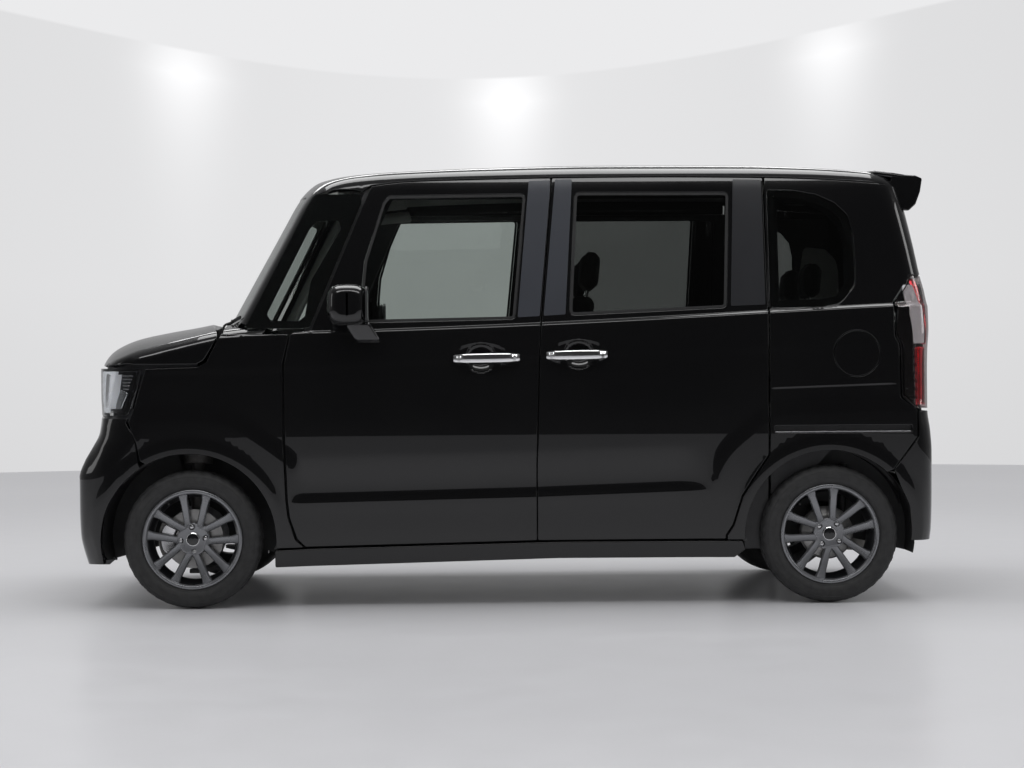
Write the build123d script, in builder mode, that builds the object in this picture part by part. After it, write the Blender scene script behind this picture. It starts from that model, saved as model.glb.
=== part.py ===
from build123d import *
import math
import os

os.makedirs("parts", exist_ok=True)

# Kei-class tall wagon, millimetres. -X is forward, +Y the car's right, +Z up,
# origin on the floor under the centre of the overall length.

# ---- driving dimensions --------------------------------------------------
LENGTH, WIDTH, HEIGHT = 3395.0, 1475.0, 1790.0
X_FRONT, X_REAR = -LENGTH / 2, LENGTH / 2
AXLE_F, AXLE_R = -1240.0, 1280.0
WHEEL_Y = 652.5            # half track
TYRE_R, TYRE_W = 273.0, 155.0
RIM_R, RIM_W = 197.0, 140.0
HUB_Z = TYRE_R
ARCH_F = (-1252.0, 270.0, 341.0)   # centre x, centre z, radius
ARCH_R = (1276.0, 272.0, 334.0)
DOOR_T = 60.0              # whole thickness of a door
WALL_T = 90.0              # whole thickness of the side wall
SKIN_T = 12.0
GAP = 3.0                  # half a shut line
ROOF_T = 35.0
HINGE_DOOR = (-872.0, -738.0)      # x, y of the left front door's axis
HINGE_BONNET = (-1118.0, 1142.0)   # x, z
HINGE_GATE = (1474.0, 1742.0)      # x, z
FUEL_LID = (1389.0, 988.0, 90.0)   # x, z, radius
KING_LOW, KING_TOP = (-622.0, 155.0), (-500.0, 760.0)   # y, z of the left kingpin
STEER_R = 182.0
COLUMN_TILT = 27.0
WHEEL_HUB = (-430.0, 335.0, 990.0)  # right-hand drive
SEAT_Y = (-332.0, 332.0)
SPOKES = 10
TOW_R = 8.0
# brake calliper: start distance from the centre plane, inner and outer radius, depth
CALLIPER = [(614, 40, 140, 30), (640, 123, 140, 28)]

# cabin plan sections: height, front x, front sagitta, half width, rear x, rear sagitta, rear corner
CABIN = [
    (165, -1165, 85, 694.0, 1668, 14, 70),
    (300, -1165, 85, 716.0, 1692, 14, 80),
    (420, -1165, 88, 724.0, X_REAR, 14, 82),
    (600, -1165, 90, 733.0, X_REAR, 14, 85),
    (760, -1165, 95, 737.5, 1678, 12, 90),
    (900, -1165, 100, 737.5, 1680, 12, 90),
    (1095, -1168, 105, 730.0, 1690, 12, 95),
    (1160, -1134, 104, 712.0, 1688, 12, 100),
    (1300, -1057, 100, 689.0, 1662, 12, 105),
    (1550, -919, 92, 648.0, 1616, 12, 110),
    (1660, -859, 85, 630.0, 1592, 12, 110),
    (1710, -831, 80, 612.0, 1580, 12, 110),
    (1810, -776, 70, 585.0, 1556, 12, 105),
]
# nose plan sections: height, front x, front sagitta, half width (None: as the cabin), corner depth, corner width
NOSE = [
    (165, -1672, 25, None, 130, 90),
    (290, X_FRONT, 22, None, 140, 90),
    (520, X_FRONT, 22, None, 150, 95),
    (640, -1686, 40, None, 170, 100),
    (757, -1676, 62, None, 190, 115),
    (957, -1674, 64, None, 200, 120),
    (1050, -1660, 78, None, 215, 130),
    (1076, -1605, 88, None, 230, 150),
    (1100, -1529, 92, 640.0, 240, 170),
    (1123, -1407, 80, 540.0, 200, 160),
    (1142, -1262, 60, 420.0, 90, 120),
]
# roof edge stations: x, height at the side edge, height at the centre line
ROOF = [
    (-1300, 1560, 1600),
    (-900, 1560, 1600),
    (-760, 1656, 1692),
    (-690, 1690, 1728),
    (-590, 1711, 1751),
    (-400, 1727, 1768),
    (-100, 1738, 1781),
    (400, 1746, HEIGHT),
    (950, 1744, 1785),
    (1230, 1737, 1770),
    (1480, 1719, 1743),
    (1700, 1696, 1715),
]


def width_at(z):
    for a, b in zip(CABIN, CABIN[1:]):
        if a[0] <= z <= b[0]:
            return a[3] + (b[3] - a[3]) * (z - a[0]) / (b[0] - a[0])
    return CABIN[0][3]


def corner(xa, ww, rx, ry):
    """Middle point of a corner arc that runs into the side at (xa + rx, ww)."""
    r = (rx * rx + ry * ry) / (2 * ry)
    half = math.atan2(rx, r - ry) / 2
    return xa + rx - r * math.sin(half), ww - r + r * math.cos(half)


def cabin(inset=0.0, tall=False):
    """The cabin's outer form, or the same form moved in by inset."""
    d = inset
    with BuildPart() as body:
        for z, xf, sf, w, xr, sr, rr in CABIN:
            if tall:
                zz = -100.0 if z == CABIN[0][0] else (1950.0 if z == CABIN[-1][0] else z)
            else:
                zz = z
            xa, xb, ww, fx, fy = xf + 1.12 * d + sf, xr - d - sr, w - d, 55.0, 45.0
            with BuildSketch(Plane.XY.offset(zz)):
                with BuildLine():
                    ThreePointArc((xa, -(ww - fy)), (xf + 1.12 * d, 0), (xa, ww - fy))
                    ThreePointArc((xa, ww - fy), corner(xa, ww, fx, fy), (xa + fx, ww))
                    Line((xa + fx, ww), (xb - rr, ww))
                    ThreePointArc((xb - rr, ww), (xb - 0.29 * rr, ww - 0.29 * rr), (xb, ww - rr))
                    ThreePointArc((xb, ww - rr), (xb + sr, 0), (xb, -(ww - rr)))
                    ThreePointArc((xb, -(ww - rr)), (xb - 0.29 * rr, -(ww - 0.29 * rr)), (xb - rr, -ww))
                    Line((xb - rr, -ww), (xa + fx, -ww))
                    ThreePointArc((xa + fx, -ww), (corner(xa, ww, fx, fy)[0], -corner(xa, ww, fx, fy)[1]), (xa, -(ww - fy)))
                make_face()
        loft(ruled=True)
    return body.part


def nose(inset=0.0):
    """The bonnet, wings and bumper's outer form ahead of x -1100, or moved in by inset."""
    d = inset
    with BuildPart() as body:
        for z, xf, sf, w, rx, ry in NOSE:
            zz = z - d * min(1.0, max(0.0, (z - 900) / 150.0)) if z > 900 else z
            ww = (width_at(z) if w is None else w) - d
            xa = xf + d + sf
            if z == NOSE[0][0] and d:
                zz = 100.0
            with BuildSketch(Plane.XY.offset(zz)):
                with BuildLine():
                    ThreePointArc((xa, -(ww - ry)), (xf + d, 0), (xa, ww - ry))
                    ThreePointArc((xa, ww - ry), corner(xa, ww, rx, ry), (xa + rx, ww))
                    Line((xa + rx, ww), (-960, ww))
                    Line((-960, ww), (-960, -ww))
                    Line((-960, -ww), (xa + rx, -ww))
                    ThreePointArc((xa + rx, -ww), (corner(xa, ww, rx, ry)[0], -corner(xa, ww, rx, ry)[1]), (xa, -(ww - ry)))
                make_face()
        loft(ruled=True)
    return body.part


def roof_cap(drop=0.0):
    """Everything below the roof's crowned surface, lowered by drop."""
    with BuildPart() as body:
        for x, ze, zc in ROOF:
            with BuildSketch(Plane.YZ.offset(x)):
                with BuildLine():
                    ThreePointArc((-600, ze - drop), (0, zc - drop), (600, ze - drop))
                    Polyline((600, ze - drop), (900, ze - drop - 60), (900, 100), (-900, 100), (-900, ze - drop - 60), (-600, ze - drop))
                make_face()
        loft(ruled=True)
    return body.part


def side(points, y0=0.0, y1=-900.0, grow=0.0):
    """A prism of a side-view outline (x, z), from y0 to y1."""
    with BuildPart() as body:
        with BuildSketch(Plane.XZ.offset(-y0)):
            with BuildLine():
                Polyline(*points, close=True)
            make_face()
            if grow:
                offset(amount=grow, kind=Kind.INTERSECTION)
        extrude(amount=y0 - y1)
    return body.part


def front(points, x0, x1):
    """A prism of a front-view outline (y, z), from x0 to x1."""
    with BuildPart() as body:
        with BuildSketch(Plane.YZ.offset(x0)):
            with BuildLine():
                Polyline(*points, close=True)
            make_face()
        extrude(amount=x1 - x0)
    return body.part


def drum(x, z, r, y0, y1):
    """A cylinder along Y."""
    with BuildPart() as body:
        with BuildSketch(Plane.XZ.offset(-y0)):
            with Locations((x, z)):
                Circle(r)
        extrude(amount=y0 - y1)
    return body.part


def block(x0, x1, y0, y1, z0, z1, r=0.0):
    with BuildPart() as body:
        with BuildSketch(Plane.XY.offset(z0)):
            with Locations(((x0 + x1) / 2, (y0 + y1) / 2)):
                if r:
                    RectangleRounded(x1 - x0, y1 - y0, r)
                else:
                    Rectangle(x1 - x0, y1 - y0)
        extrude(amount=z1 - z0)
    return body.part


def bar_handle(x0, x1, z0, z1, y):
    """A pull bar standing 28 mm off the left side at half width y."""
    with BuildPart() as body:
        with BuildSketch(Plane.XY.offset(z0)):
            with BuildLine():
                Polyline((x0, -y), (x0 + 12, -y - 26), (x0 + 40, -y - 33), (x1 - 30, -y - 33), (x1 - 6, -y - 26), (x1, -y), (x1 - 46, -y), (x1 - 52, -y - 16), (x0 + 62, -y - 16), (x0 + 50, -y), close=True)
            make_face()
        extrude(amount=z1 - z0)
    return body.part


def polar(arc, extra, degrees):
    """A point on a circle (centre x, centre z, radius) made larger by extra."""
    a = math.radians(degrees)
    return (arc[0] + (arc[2] + extra) * math.cos(a), arc[1] + (arc[2] + extra) * math.sin(a))


def mirrored(part):
    with BuildPart() as body:
        mirror(part, about=Plane.XZ, mode=Mode.ADD)
    return body.part


# ---- side-view shut lines (x, z) -----------------------------------------
DOOR_FRONT_EDGE = [(-796, 242), (-829, 272), (-857, 357), (-865, 430), (-875, 700), (-875, 962), (-848, 1084), (-766, 1100), (-541, 1651), (-516, 1700), (-516, 1760)]
B_EDGE = [(192, 1760), (186, 1658), (135, 1056), (119, 560), (119, 262)]
C_EDGE = [(1034, 1760), (1034, 1519), (1039, 1162), (1033, 590), (979, 513), (926, 430), (890, 315), (862, 278)]
FRONT_DOOR = DOOR_FRONT_EDGE + B_EDGE
SLIDE_DOOR = [(119, 262), (119, 560), (135, 1056), (186, 1658), (192, 1760)] + C_EDGE
FRONT_WINDOW = [(-560, 1132), (30, 1140), (78, 1630), (-455, 1622), (-548, 1400), (-570, 1290)]
SLIDE_WINDOW = [(262, 1150), (870, 1178), (886, 1632), (290, 1632)]
QUARTER_WINDOW = [(1062, 1185), (1250, 1190), (1330, 1205), (1372, 1262), (1372, 1460), (1350, 1535), (1300, 1580), (1230, 1612), (1060, 1628)]
QUARTER_GLASS = [(1046, 1166), (1252, 1172), (1345, 1187), (1392, 1256), (1392, 1463), (1372, 1545), (1315, 1600), (1240, 1632), (1044, 1648)]
FRONT_QUARTER_WINDOW = [(-925, 1142), (-812, 1142), (-640, 1560), (-750, 1560)]
FRONT_QUARTER_GLASS = [(-1000, 1110), (-800, 1110), (-585, 1620), (-768, 1620)]
WING = [(-1439, 581), (-1485, 735), (-1470, 778), (-1418, 948), (-1212, 953), (-1178, 970), (-1118, 1079), (-854, 1079), (-881, 962), (-881, 700), (-871, 430), (-863, 357), (-836, 268), (-816, 246), (-1000, 246), (-1300, 300)]
BONNET_SIDE = [(-1800, 959), (-1214, 959), (-1184, 976), (-1124, 1088), (-1124, 1300), (-1800, 1300)]
LAMP_SIDE = [(-1800, 760), (-1478, 760), (-1478, 780), (-1427, 950), (-1427, 953), (-1800, 953)]
BUMPER_SIDE = [(-1800, 100), (-1400, 100), (-1444, 578), (-1491, 735), (-1482, 754), (-1800, 754)]

body_out = cabin()
body_7 = cabin(7.0, tall=True)
body_12 = cabin(SKIN_T, tall=True)
body_25 = cabin(25.0, tall=True)
body_57 = cabin(DOOR_T - 3, tall=True)
body_60 = cabin(DOOR_T, tall=True)
body_65 = cabin(DOOR_T + 5, tall=True)
body_90 = cabin(WALL_T, tall=True)
nose_out = nose()
nose_25 = nose(25.0)
nose_100 = nose(100.0)
cap_top = roof_cap()
cap_under = roof_cap(ROOF_T)
cap_door = roof_cap(ROOF_T + 6)


def layer(outer, inner, *keep, cut=()):
    """Material between two nested forms, kept inside every form in keep, less those in cut."""
    with BuildPart() as body:
        add(outer)
        for k in keep:
            add(k, mode=Mode.INTERSECT)
        add(inner, mode=Mode.SUBTRACT)
        for c in cut:
            add(c, mode=Mode.SUBTRACT)
    return body.part


def joined(*parts):
    with BuildPart() as body:
        for p in parts:
            add(p)
    return body.part


def largest(part):
    with BuildPart() as body:
        add(part.solids().sort_by(SortBy.VOLUME)[-1])
    return body.part


def both(part):
    """A left-hand piece and its mirror image, as one part."""
    with BuildPart() as body:
        add(part)
        mirror(part, about=Plane.XZ)
    return body.part


# openings seen from the front and the rear (y, z)
SCREEN_OPEN = [(-590, 1120), (590, 1120), (508, 1640), (-508, 1640)]
SCREEN_GLASS = [(-640, 1098), (640, 1098), (555, 1672), (-555, 1672)]
GATE_OPEN = [(-556, 492), (556, 492), (566, 770), (584, 800), (600, 1240), (588, 1400), (566, 1560), (548, 1760), (-548, 1760), (-566, 1560), (-588, 1400), (-600, 1240), (-584, 800), (-566, 770)]
GATE_GLASS = [(-500, 1128), (500, 1128), (480, 1300), (452, 1520), (-452, 1520), (-480, 1300)]
GATE_WINDOW = [(-480, 1150), (480, 1150), (462, 1300), (436, 1502), (-436, 1502), (-462, 1300)]
LAMP_BACK = [(1541, 1195), (1541, 1056), (1560, 1020), (1563, 815), (1628, 766), (1800, 766), (1800, 1300), (1612, 1300)]
BUMPER_BACK = [(1800, 240), (1596, 240), (1590, 380), (1530, 527), (1628, 656), (1628, 762), (1800, 762)]
SKIRT = [(-915, 140), (-915, 226), (-760, 231), (204, 252), (930, 250), (945, 214), (900, 140)]

# ---- left side wall: pillars, rear quarter, sill and the inner ring round both doors
WALL_REGIONS = [
    [(-1250, 1084), (-854, 1084), (-774, 1106), (-549, 1655), (-522, 1702), (-522, 1800), (-1250, 1800)],
    [(1040, 1800), (1040, 1519), (1045, 1162), (1039, 590), (985, 510), (932, 428), (896, 313), (868, 272), (868, 165), (1570, 165), (1590, 250), (1750, 250), (1750, 1800)],
    [(-905, 165), (868, 165), (868, 272), (119, 256), (-790, 236), (-905, 228)],
]
RING = [(-905, 200), (1045, 200), (1045, 1760), (-505, 1760), (-775, 1130), (-905, 1110)]
RING_HOLES = [
    [(-800, 325), (75, 325), (75, 560), (92, 1056), (140, 1640), (-455, 1640), (-700, 1090), (-800, 960)],
    [(165, 325), (850, 325), (960, 560), (985, 620), (985, 1640), (240, 1640), (190, 1056), (165, 560)],
]
with BuildPart() as wall_outline:
    for r in WALL_REGIONS:
        add(side(r))
with BuildPart() as ring_outline:
    add(side(RING))
    for h in RING_HOLES:
        add(side(h), mode=Mode.SUBTRACT)
post_outline = side([(-905, 228), (-888, 228), (-870, 1084), (-1060, 1084), (-1060, 900), (-905, 800)], -600)
screen_cut = front(SCREEN_OPEN, -1300, -700)
screen_zone = front(SCREEN_GLASS, -1300, -700)
gate_cut = front(GATE_OPEN, 1440, 1800)
gate_zone = front([(y * 0.991, z + (5 if z < 500 else 0)) for y, z in GATE_OPEN], 1474, 1800)
front_arch_cut = drum(ARCH_F[0], ARCH_F[1], ARCH_F[2], -380, -900)
rear_arch_cut = drum(ARCH_R[0], ARCH_R[1], ARCH_R[2], -540, -900)
lamp_zone = side(LAMP_BACK, -540, -900)
bumper_zone = side(BUMPER_BACK)
skirt_zone = side(SKIRT, -600, -900)
lid_hole = drum(FUEL_LID[0], FUEL_LID[1], FUEL_LID[2] + 5, -690, -900)

screen_form = layer(body_out, body_7, screen_zone, cap_under)
quarter_form = layer(body_out, body_7, side(QUARTER_GLASS), cap_under)
front_quarter_form = layer(body_out, body_7, side(FRONT_QUARTER_GLASS, -480), cap_under, cut=[screen_form])
lamp_form = layer(body_out, body_60, lamp_zone, cut=[gate_cut])
bumper_form = layer(body_out, body_25, bumper_zone, cut=[gate_cut, rear_arch_cut])
skirt_form = layer(body_out, body_25, skirt_zone)

wall_blank = joined(
    layer(body_out, body_90, cap_under, wall_outline.part),
    layer(body_65, body_90, cap_under, ring_outline.part),
    layer(body_57, body_90, post_outline),
)
with BuildPart() as rear_holes:
    with BuildSketch(Plane.YZ.offset(1560)):
        with Locations((-105, 420)):
            Circle(9)
        with Locations((-430, 330)):
            Circle(16)
    extrude(amount=150)
with BuildPart() as body_side_left:
    add(wall_blank)
    for cutter in (rear_holes.part, screen_cut, screen_form, side(FRONT_QUARTER_WINDOW), front_quarter_form,
                   side(QUARTER_WINDOW), quarter_form, gate_cut, rear_arch_cut, front_arch_cut,
                   lid_hole, lamp_form, bumper_form, skirt_form):
        add(cutter, mode=Mode.SUBTRACT)
left_wall = largest(body_side_left.part)
with BuildPart() as body_side_left:
    add(left_wall)
with BuildPart() as body_side_right:
    mirror(left_wall, about=Plane.XZ)

# ---- roof, ending at the tailgate's front edge ------------------------------
with BuildPart() as roof_panel:
    add(body_out)
    add(cap_top, mode=Mode.INTERSECT)
    add(cap_under, mode=Mode.SUBTRACT)
    add(block(1468, 1800, -900, 900, 1500, 1900), mode=Mode.SUBTRACT)

# ---- glass in the fixed body ------------------------------------------------
with BuildPart() as windscreen:
    add(screen_form)
with BuildPart() as quarter_glass:
    add(both(quarter_form))
    add(both(front_quarter_form))

# ---- lamps, bumpers, skirts: skins let into the wall with a small shut line --
with BuildPart() as tail_lamps:
    add(both(layer(body_out, body_57, side(LAMP_BACK, -540, -900, grow=-2), cut=[gate_cut])))
with BuildPart() as rear_bumper:
    add(body_out)
    add(side(BUMPER_BACK, 900, -900, grow=-2), mode=Mode.INTERSECT)
    add(body_25, mode=Mode.SUBTRACT)
    add(front([(y * 1.008, z - (4 if z < 500 else 0)) for y, z in GATE_OPEN], 1440, 1800), mode=Mode.SUBTRACT)
    add(rear_arch_cut, mode=Mode.SUBTRACT)
    add(mirrored(rear_arch_cut), mode=Mode.SUBTRACT)
    with BuildSketch(Plane.YZ.offset(1600)):
        with Locations((-105, 420), (105, 420)):
            Circle(3.2)
        with Locations((430, 330)):
            Circle(TOW_R)
    extrude(amount=150, mode=Mode.SUBTRACT)
with BuildPart() as side_skirts:
    add(both(layer(body_out, body_25, side(SKIRT, -600, -900, grow=-1))))

# ---- nose: wings, bumper, grille, lamps ---------------------------------------
nose_shell = joined(layer(nose_out, nose_25, cut=[body_25]), layer(body_out, body_25, block(-1100, -700, -900, 900, 100, 1080), cut=[nose_25]))
with BuildPart() as front_fenders:
    add(both(largest(layer(nose_shell, front_arch_cut, side(WING, -500, -900)))))
NOSE_PLATE = front([(-332, 766), (332, 766), (348, 948), (-348, 948)], -1800, -1500)
with BuildPart() as front_bumper:
    add(nose_out)
    add(side(BUMPER_SIDE, 900, -900), mode=Mode.INTERSECT)
    add(nose_25, mode=Mode.SUBTRACT)
    add(front_arch_cut, mode=Mode.SUBTRACT)
    add(mirrored(front_arch_cut), mode=Mode.SUBTRACT)
    add(front([(-420, 300), (420, 300), (455, 440), (-455, 440)], -1800, -1550), mode=Mode.SUBTRACT)
    with BuildSketch(Plane.YZ.offset(-1800)):
        with Locations((-105, 560), (105, 560)):
            Circle(3.2)
        with Locations((-520, 480)):
            Circle(TOW_R)
    extrude(amount=250, mode=Mode.SUBTRACT)
with BuildPart() as front_grille:
    add(layer(nose_out, nose_25, NOSE_PLATE))
    with BuildSketch(Plane.XY.offset(290)):
        with Locations((-1640, 0)):
            Rectangle(14, 900)
    extrude(amount=160)
with BuildPart() as headlamps:
    add(both(layer(nose_out, nose_100, side(LAMP_SIDE, -352, -900))))

# ---- bonnet and the cowl behind it --------------------------------------------
with BuildPart() as cowl_arc:
    with BuildSketch(Plane.XY.offset(900)):
        with BuildLine():
            ThreePointArc((-1121, -760), (-1214, 0), (-1121, 760))
            Polyline((-1121, 760), (-900, 760), (-900, -760), (-1121, -760))
        make_face()
    extrude(amount=400)
with BuildPart() as bonnet:
    add(nose_out)
    add(side(BONNET_SIDE, 900, -900, grow=-2), mode=Mode.INTERSECT)
    add(nose_25, mode=Mode.SUBTRACT)
    add(cowl_arc.part, mode=Mode.SUBTRACT)
with BuildPart() as cowl_panel:
    with BuildSketch(Plane.XY.offset(1060)):
        with BuildLine():
            ThreePointArc((-1113, -700), (-1206, 0), (-1113, 700))
            Polyline((-1113, 700), (-1030, 700), (-1030, -700), (-1113, -700))
        make_face()
    extrude(amount=45)
    add(body_out, mode=Mode.SUBTRACT)
    add(block(-1300, -900, -900, -596, 1000, 1200), mode=Mode.SUBTRACT)
    add(block(-1300, -900, 596, 900, 1000, 1200), mode=Mode.SUBTRACT)

# ---- left front door -----------------------------------------------------------
door_window = side(FRONT_WINDOW)
grip_cup = drum(-99, 980, 58, -712, -900)
with BuildPart() as front_door_left:
    add(joined(layer(body_out, body_12, cap_door, side(FRONT_DOOR, -400, -900, grow=-GAP)),
               layer(body_12, body_60, cap_door, side(FRONT_DOOR, -400, -900, grow=-16))))
    add(door_window, mode=Mode.SUBTRACT)
    add(grip_cup, mode=Mode.SUBTRACT)
left_door = largest(front_door_left.part)
with BuildPart() as front_door_left:
    add(left_door)
with BuildPart() as front_door_right:
    mirror(left_door, about=Plane.XZ)
left_glass = layer(body_out, body_7, door_window)
with BuildPart() as front_door_glass_left:
    add(left_glass)
with BuildPart() as front_door_glass_right:
    mirror(left_glass, about=Plane.XZ)
with BuildPart() as door_handle_left:
    add(bar_handle(-205, 50, 962, 1000, 737.5))
with BuildPart() as door_handle_right:
    mirror(door_handle_left.part, about=Plane.XZ)
with BuildPart() as door_mirror_left:
    with BuildSketch(Plane.XZ.offset(752)):
        with Locations((-628, 1188)):
            RectangleRounded(150, 162, 45)
    with BuildSketch(Plane.XZ.offset(905)):
        with Locations((-640, 1188)):
            RectangleRounded(112, 128, 45)
    loft()
    with BuildSketch(Plane.XY.offset(1085)):
        with Locations((-640, -752)):
            RectangleRounded(70, 66, 20)
    extrude(amount=80)
    add(body_out, mode=Mode.SUBTRACT)
with BuildPart() as door_mirror_right:
    mirror(door_mirror_left.part, about=Plane.XZ)

# ---- left sliding door -----------------------------------------------------------
slide_window = side(SLIDE_WINDOW)
with BuildPart() as sliding_door_left:
    add(joined(layer(body_out, body_12, cap_door, side(SLIDE_DOOR, -400, -900, grow=-GAP)),
               layer(body_12, body_60, cap_door, side(SLIDE_DOOR, -400, -900, grow=-16))))
    add(slide_window, mode=Mode.SUBTRACT)
    add(drum(287, 990, 58, -712, -900), mode=Mode.SUBTRACT)
    add(rear_arch_cut, mode=Mode.SUBTRACT)
left_slide = largest(sliding_door_left.part)
with BuildPart() as sliding_door_left:
    add(left_slide)
with BuildPart() as sliding_door_right:
    mirror(left_slide, about=Plane.XZ)
with BuildPart() as sliding_door_glass:
    add(both(layer(body_out, body_7, slide_window)))
with BuildPart() as sliding_door_handles:
    add(both(bar_handle(160, 398, 970, 1008, 737.5)))

# ---- tailgate ----------------------------------------------------------------------
with BuildPart() as tailgate:
    add(joined(layer(body_out, body_60, cap_under, gate_zone),
               layer(layer(body_out, cap_under, cap_top), block(-1800, 1474, -900, 900, 1400, 1900))))
    add(front(GATE_WINDOW, 1440, 1800), mode=Mode.SUBTRACT)
    add(layer(body_out, body_7, front(GATE_GLASS, 1440, 1800)), mode=Mode.SUBTRACT)
with BuildPart() as tailgate_glass:
    add(layer(body_out, body_7, front(GATE_GLASS, 1440, 1800)))
SPOILER_TOP = [(1500, 1800), (1560, 1760), (1684, 1706), (1688, 1680), (1560, 1640)]
SPOILER_FIN = [(1500, 1700), (1684, 1700), (1688, 1680), (1668, 1600), (1640, 1568), (1560, 1562)]
with BuildPart() as rear_spoiler:
    add(side(SPOILER_TOP, 585, -585))
    add(side(SPOILER_FIN, -500, -585))
    add(side(SPOILER_FIN, 585, 500))
    add(cap_top, mode=Mode.INTERSECT)
    add(body_out, mode=Mode.SUBTRACT)

# ---- fuel lid on the left rear quarter ----------------------------------------------
with BuildPart() as fuel_lid:
    add(layer(body_out, body_12, drum(FUEL_LID[0], FUEL_LID[1], FUEL_LID[2], -600, -900)))
with BuildPart() as fuel_filler:
    add(drum(FUEL_LID[0] + 8, FUEL_LID[1] - 6, 32, -691, -712))

# ---- floor, bulkhead, inner structure ------------------------------------------------
with BuildPart() as floor_pan:
    add(block(-985, -910, -394, 394, 288, 312))
    add(block(-910, 900, -612, 612, 288, 312))
    add(block(900, 1586, -518, 518, 330, 354))
    add(block(880, 900, -518, 518, 288, 354))
    add(block(200, 216, -610, 610, 312, 340))
with BuildPart() as bulkhead:
    with BuildSketch(Plane.YZ.offset(-1012)):
        with BuildLine():
            Polyline((-394, 288), (394, 288), (394, 642), (588, 642), (588, 1060), (-588, 1060), (-588, 642), (-394, 642), close=True)
        make_face()
    extrude(amount=27)
with BuildPart() as rear_wheelhouses:
    with BuildSketch(Plane.XZ.offset(520)):
        with BuildLine():
            CenterArc((ARCH_R[0], ARCH_R[1]), ARCH_R[2] + 14, -3, 186)
            Line(polar(ARCH_R, 14, -3), polar(ARCH_R, 14, 183))
        make_face()
    extrude(amount=105)
    with BuildSketch(Plane.XZ.offset(532)):
        with Locations((ARCH_R[0], ARCH_R[1])):
            Circle(ARCH_R[2])
    extrude(amount=200, mode=Mode.SUBTRACT)
    add(block(1215, 1395, -640, -500, 150, 430), mode=Mode.SUBTRACT)
    add(body_90, mode=Mode.INTERSECT)
    mirror(about=Plane.XZ)
with BuildPart() as front_aprons:
    with BuildSketch(Plane.XZ.offset(388)):
        with BuildLine():
            Polyline((-1560, 360), (-1420, 300), (-1360, 470), (-1120, 470), (-1060, 300), (-1014, 300), (-1014, 790), (-1560, 740), close=True)
        make_face()
    extrude(amount=10)
    with BuildSketch(Plane.XY.offset(774)):
        with Locations((AXLE_F, -494)):
            Rectangle(210, 212)
    extrude(amount=14)
    with BuildSketch(Plane.XZ.offset(588)):
        with BuildLine():
            CenterArc((ARCH_F[0], ARCH_F[1]), ARCH_F[2] + 12, 28, 112)
            CenterArc((ARCH_F[0], ARCH_F[1]), ARCH_F[2] + 2, 28, 112)
            Line(polar(ARCH_F, 12, 28), polar(ARCH_F, 2, 28))
            Line(polar(ARCH_F, 12, 140), polar(ARCH_F, 2, 140))
        make_face()
    extrude(amount=102)
    add(block(-930, -914, -600, -398, 288, 640))
    add(block(-1030, -914, -590, -398, 624, 640))
    with BuildSketch(Plane.XY.offset(788)):
        with Locations((AXLE_F, -591)):
            Rectangle(210, 18)
    extrude(amount=-184)
    mirror(about=Plane.XZ)
with BuildPart() as engine_block:
    add(block(-1500, -1090, -280, 280, 250, 790, 40))
with BuildPart() as radiator:
    add(block(-1612, -1572, -330, 330, 290, 740))
with BuildPart() as front_subframe:
    add(block(-1120, -1040, -300, 300, 190, 236))
    for m in (-1, 1):
        with BuildSketch(Plane.XY.offset(134)):
            with BuildLine():
                Polyline((-1110, m * 288), (-1050, m * 288), (-1190, m * 560), (-1218, m * 638), (-1262, m * 638), (-1266, m * 590), (-1235, m * 520), close=True)
            make_face()
        extrude(amount=14)
    add(block(-1120, -1040, -310, -270, 134, 190))
    add(block(-1120, -1040, 270, 310, 134, 190))
    for m in (-1, 1):
        with BuildSketch(Plane.XZ.offset(m * 290)):
            with Locations((AXLE_F, HUB_Z)):
                Circle(13)
        extrude(amount=m * 210)
with BuildPart() as rear_axle_beam:
    with BuildSketch(Plane.YZ.offset(1120)):
        with Locations((0, 262)):
            Rectangle(1010, 60)
    extrude(amount=60)
    for m in (-1, 1):
        with BuildSketch(Plane.XZ.offset(m * 470)):
            with BuildLine():
                Polyline((900, 262), (940, 240), (1180, 225), (1320, 232), (1320, 312), (1180, 292), (940, 292), close=True)
            make_face()
        extrude(amount=m * 44)
        with BuildSketch(Plane.XZ.offset(m * 514)):
            with Locations((AXLE_R, HUB_Z)):
                Circle(26)
        extrude(amount=m * 66)
        with BuildSketch(Plane.XZ.offset(m * 510)):
            with Locations((1345, 262)):
                Rectangle(60, 34)
        extrude(amount=m * 22)
with BuildPart() as rear_springs:
    for m in (-1, 1):
        with BuildSketch(Plane.XY.offset(292)):
            with Locations((1150, m * 410)):
                Circle(52)
        extrude(amount=38)
        with BuildSketch(Plane(origin=(1350, m * 551, 215), z_dir=(0.05, 0, 1))):
            Circle(16)
        extrude(amount=330)
with BuildPart() as fuel_tank:
    add(block(300, 860, -440, 440, 190, 284, 50))
with BuildPart() as exhaust:
    with BuildSketch(Plane.YZ.offset(-1030)):
        with Locations((60, 235)):
            Circle(24)
    extrude(amount=1240)
    add(block(1400, 1560, -380, 160, 180, 318, 50))
    with BuildSketch(Plane.YZ.offset(1560)):
        with Locations((-330, 218)):
            Circle(22)
    extrude(amount=100)

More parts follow.
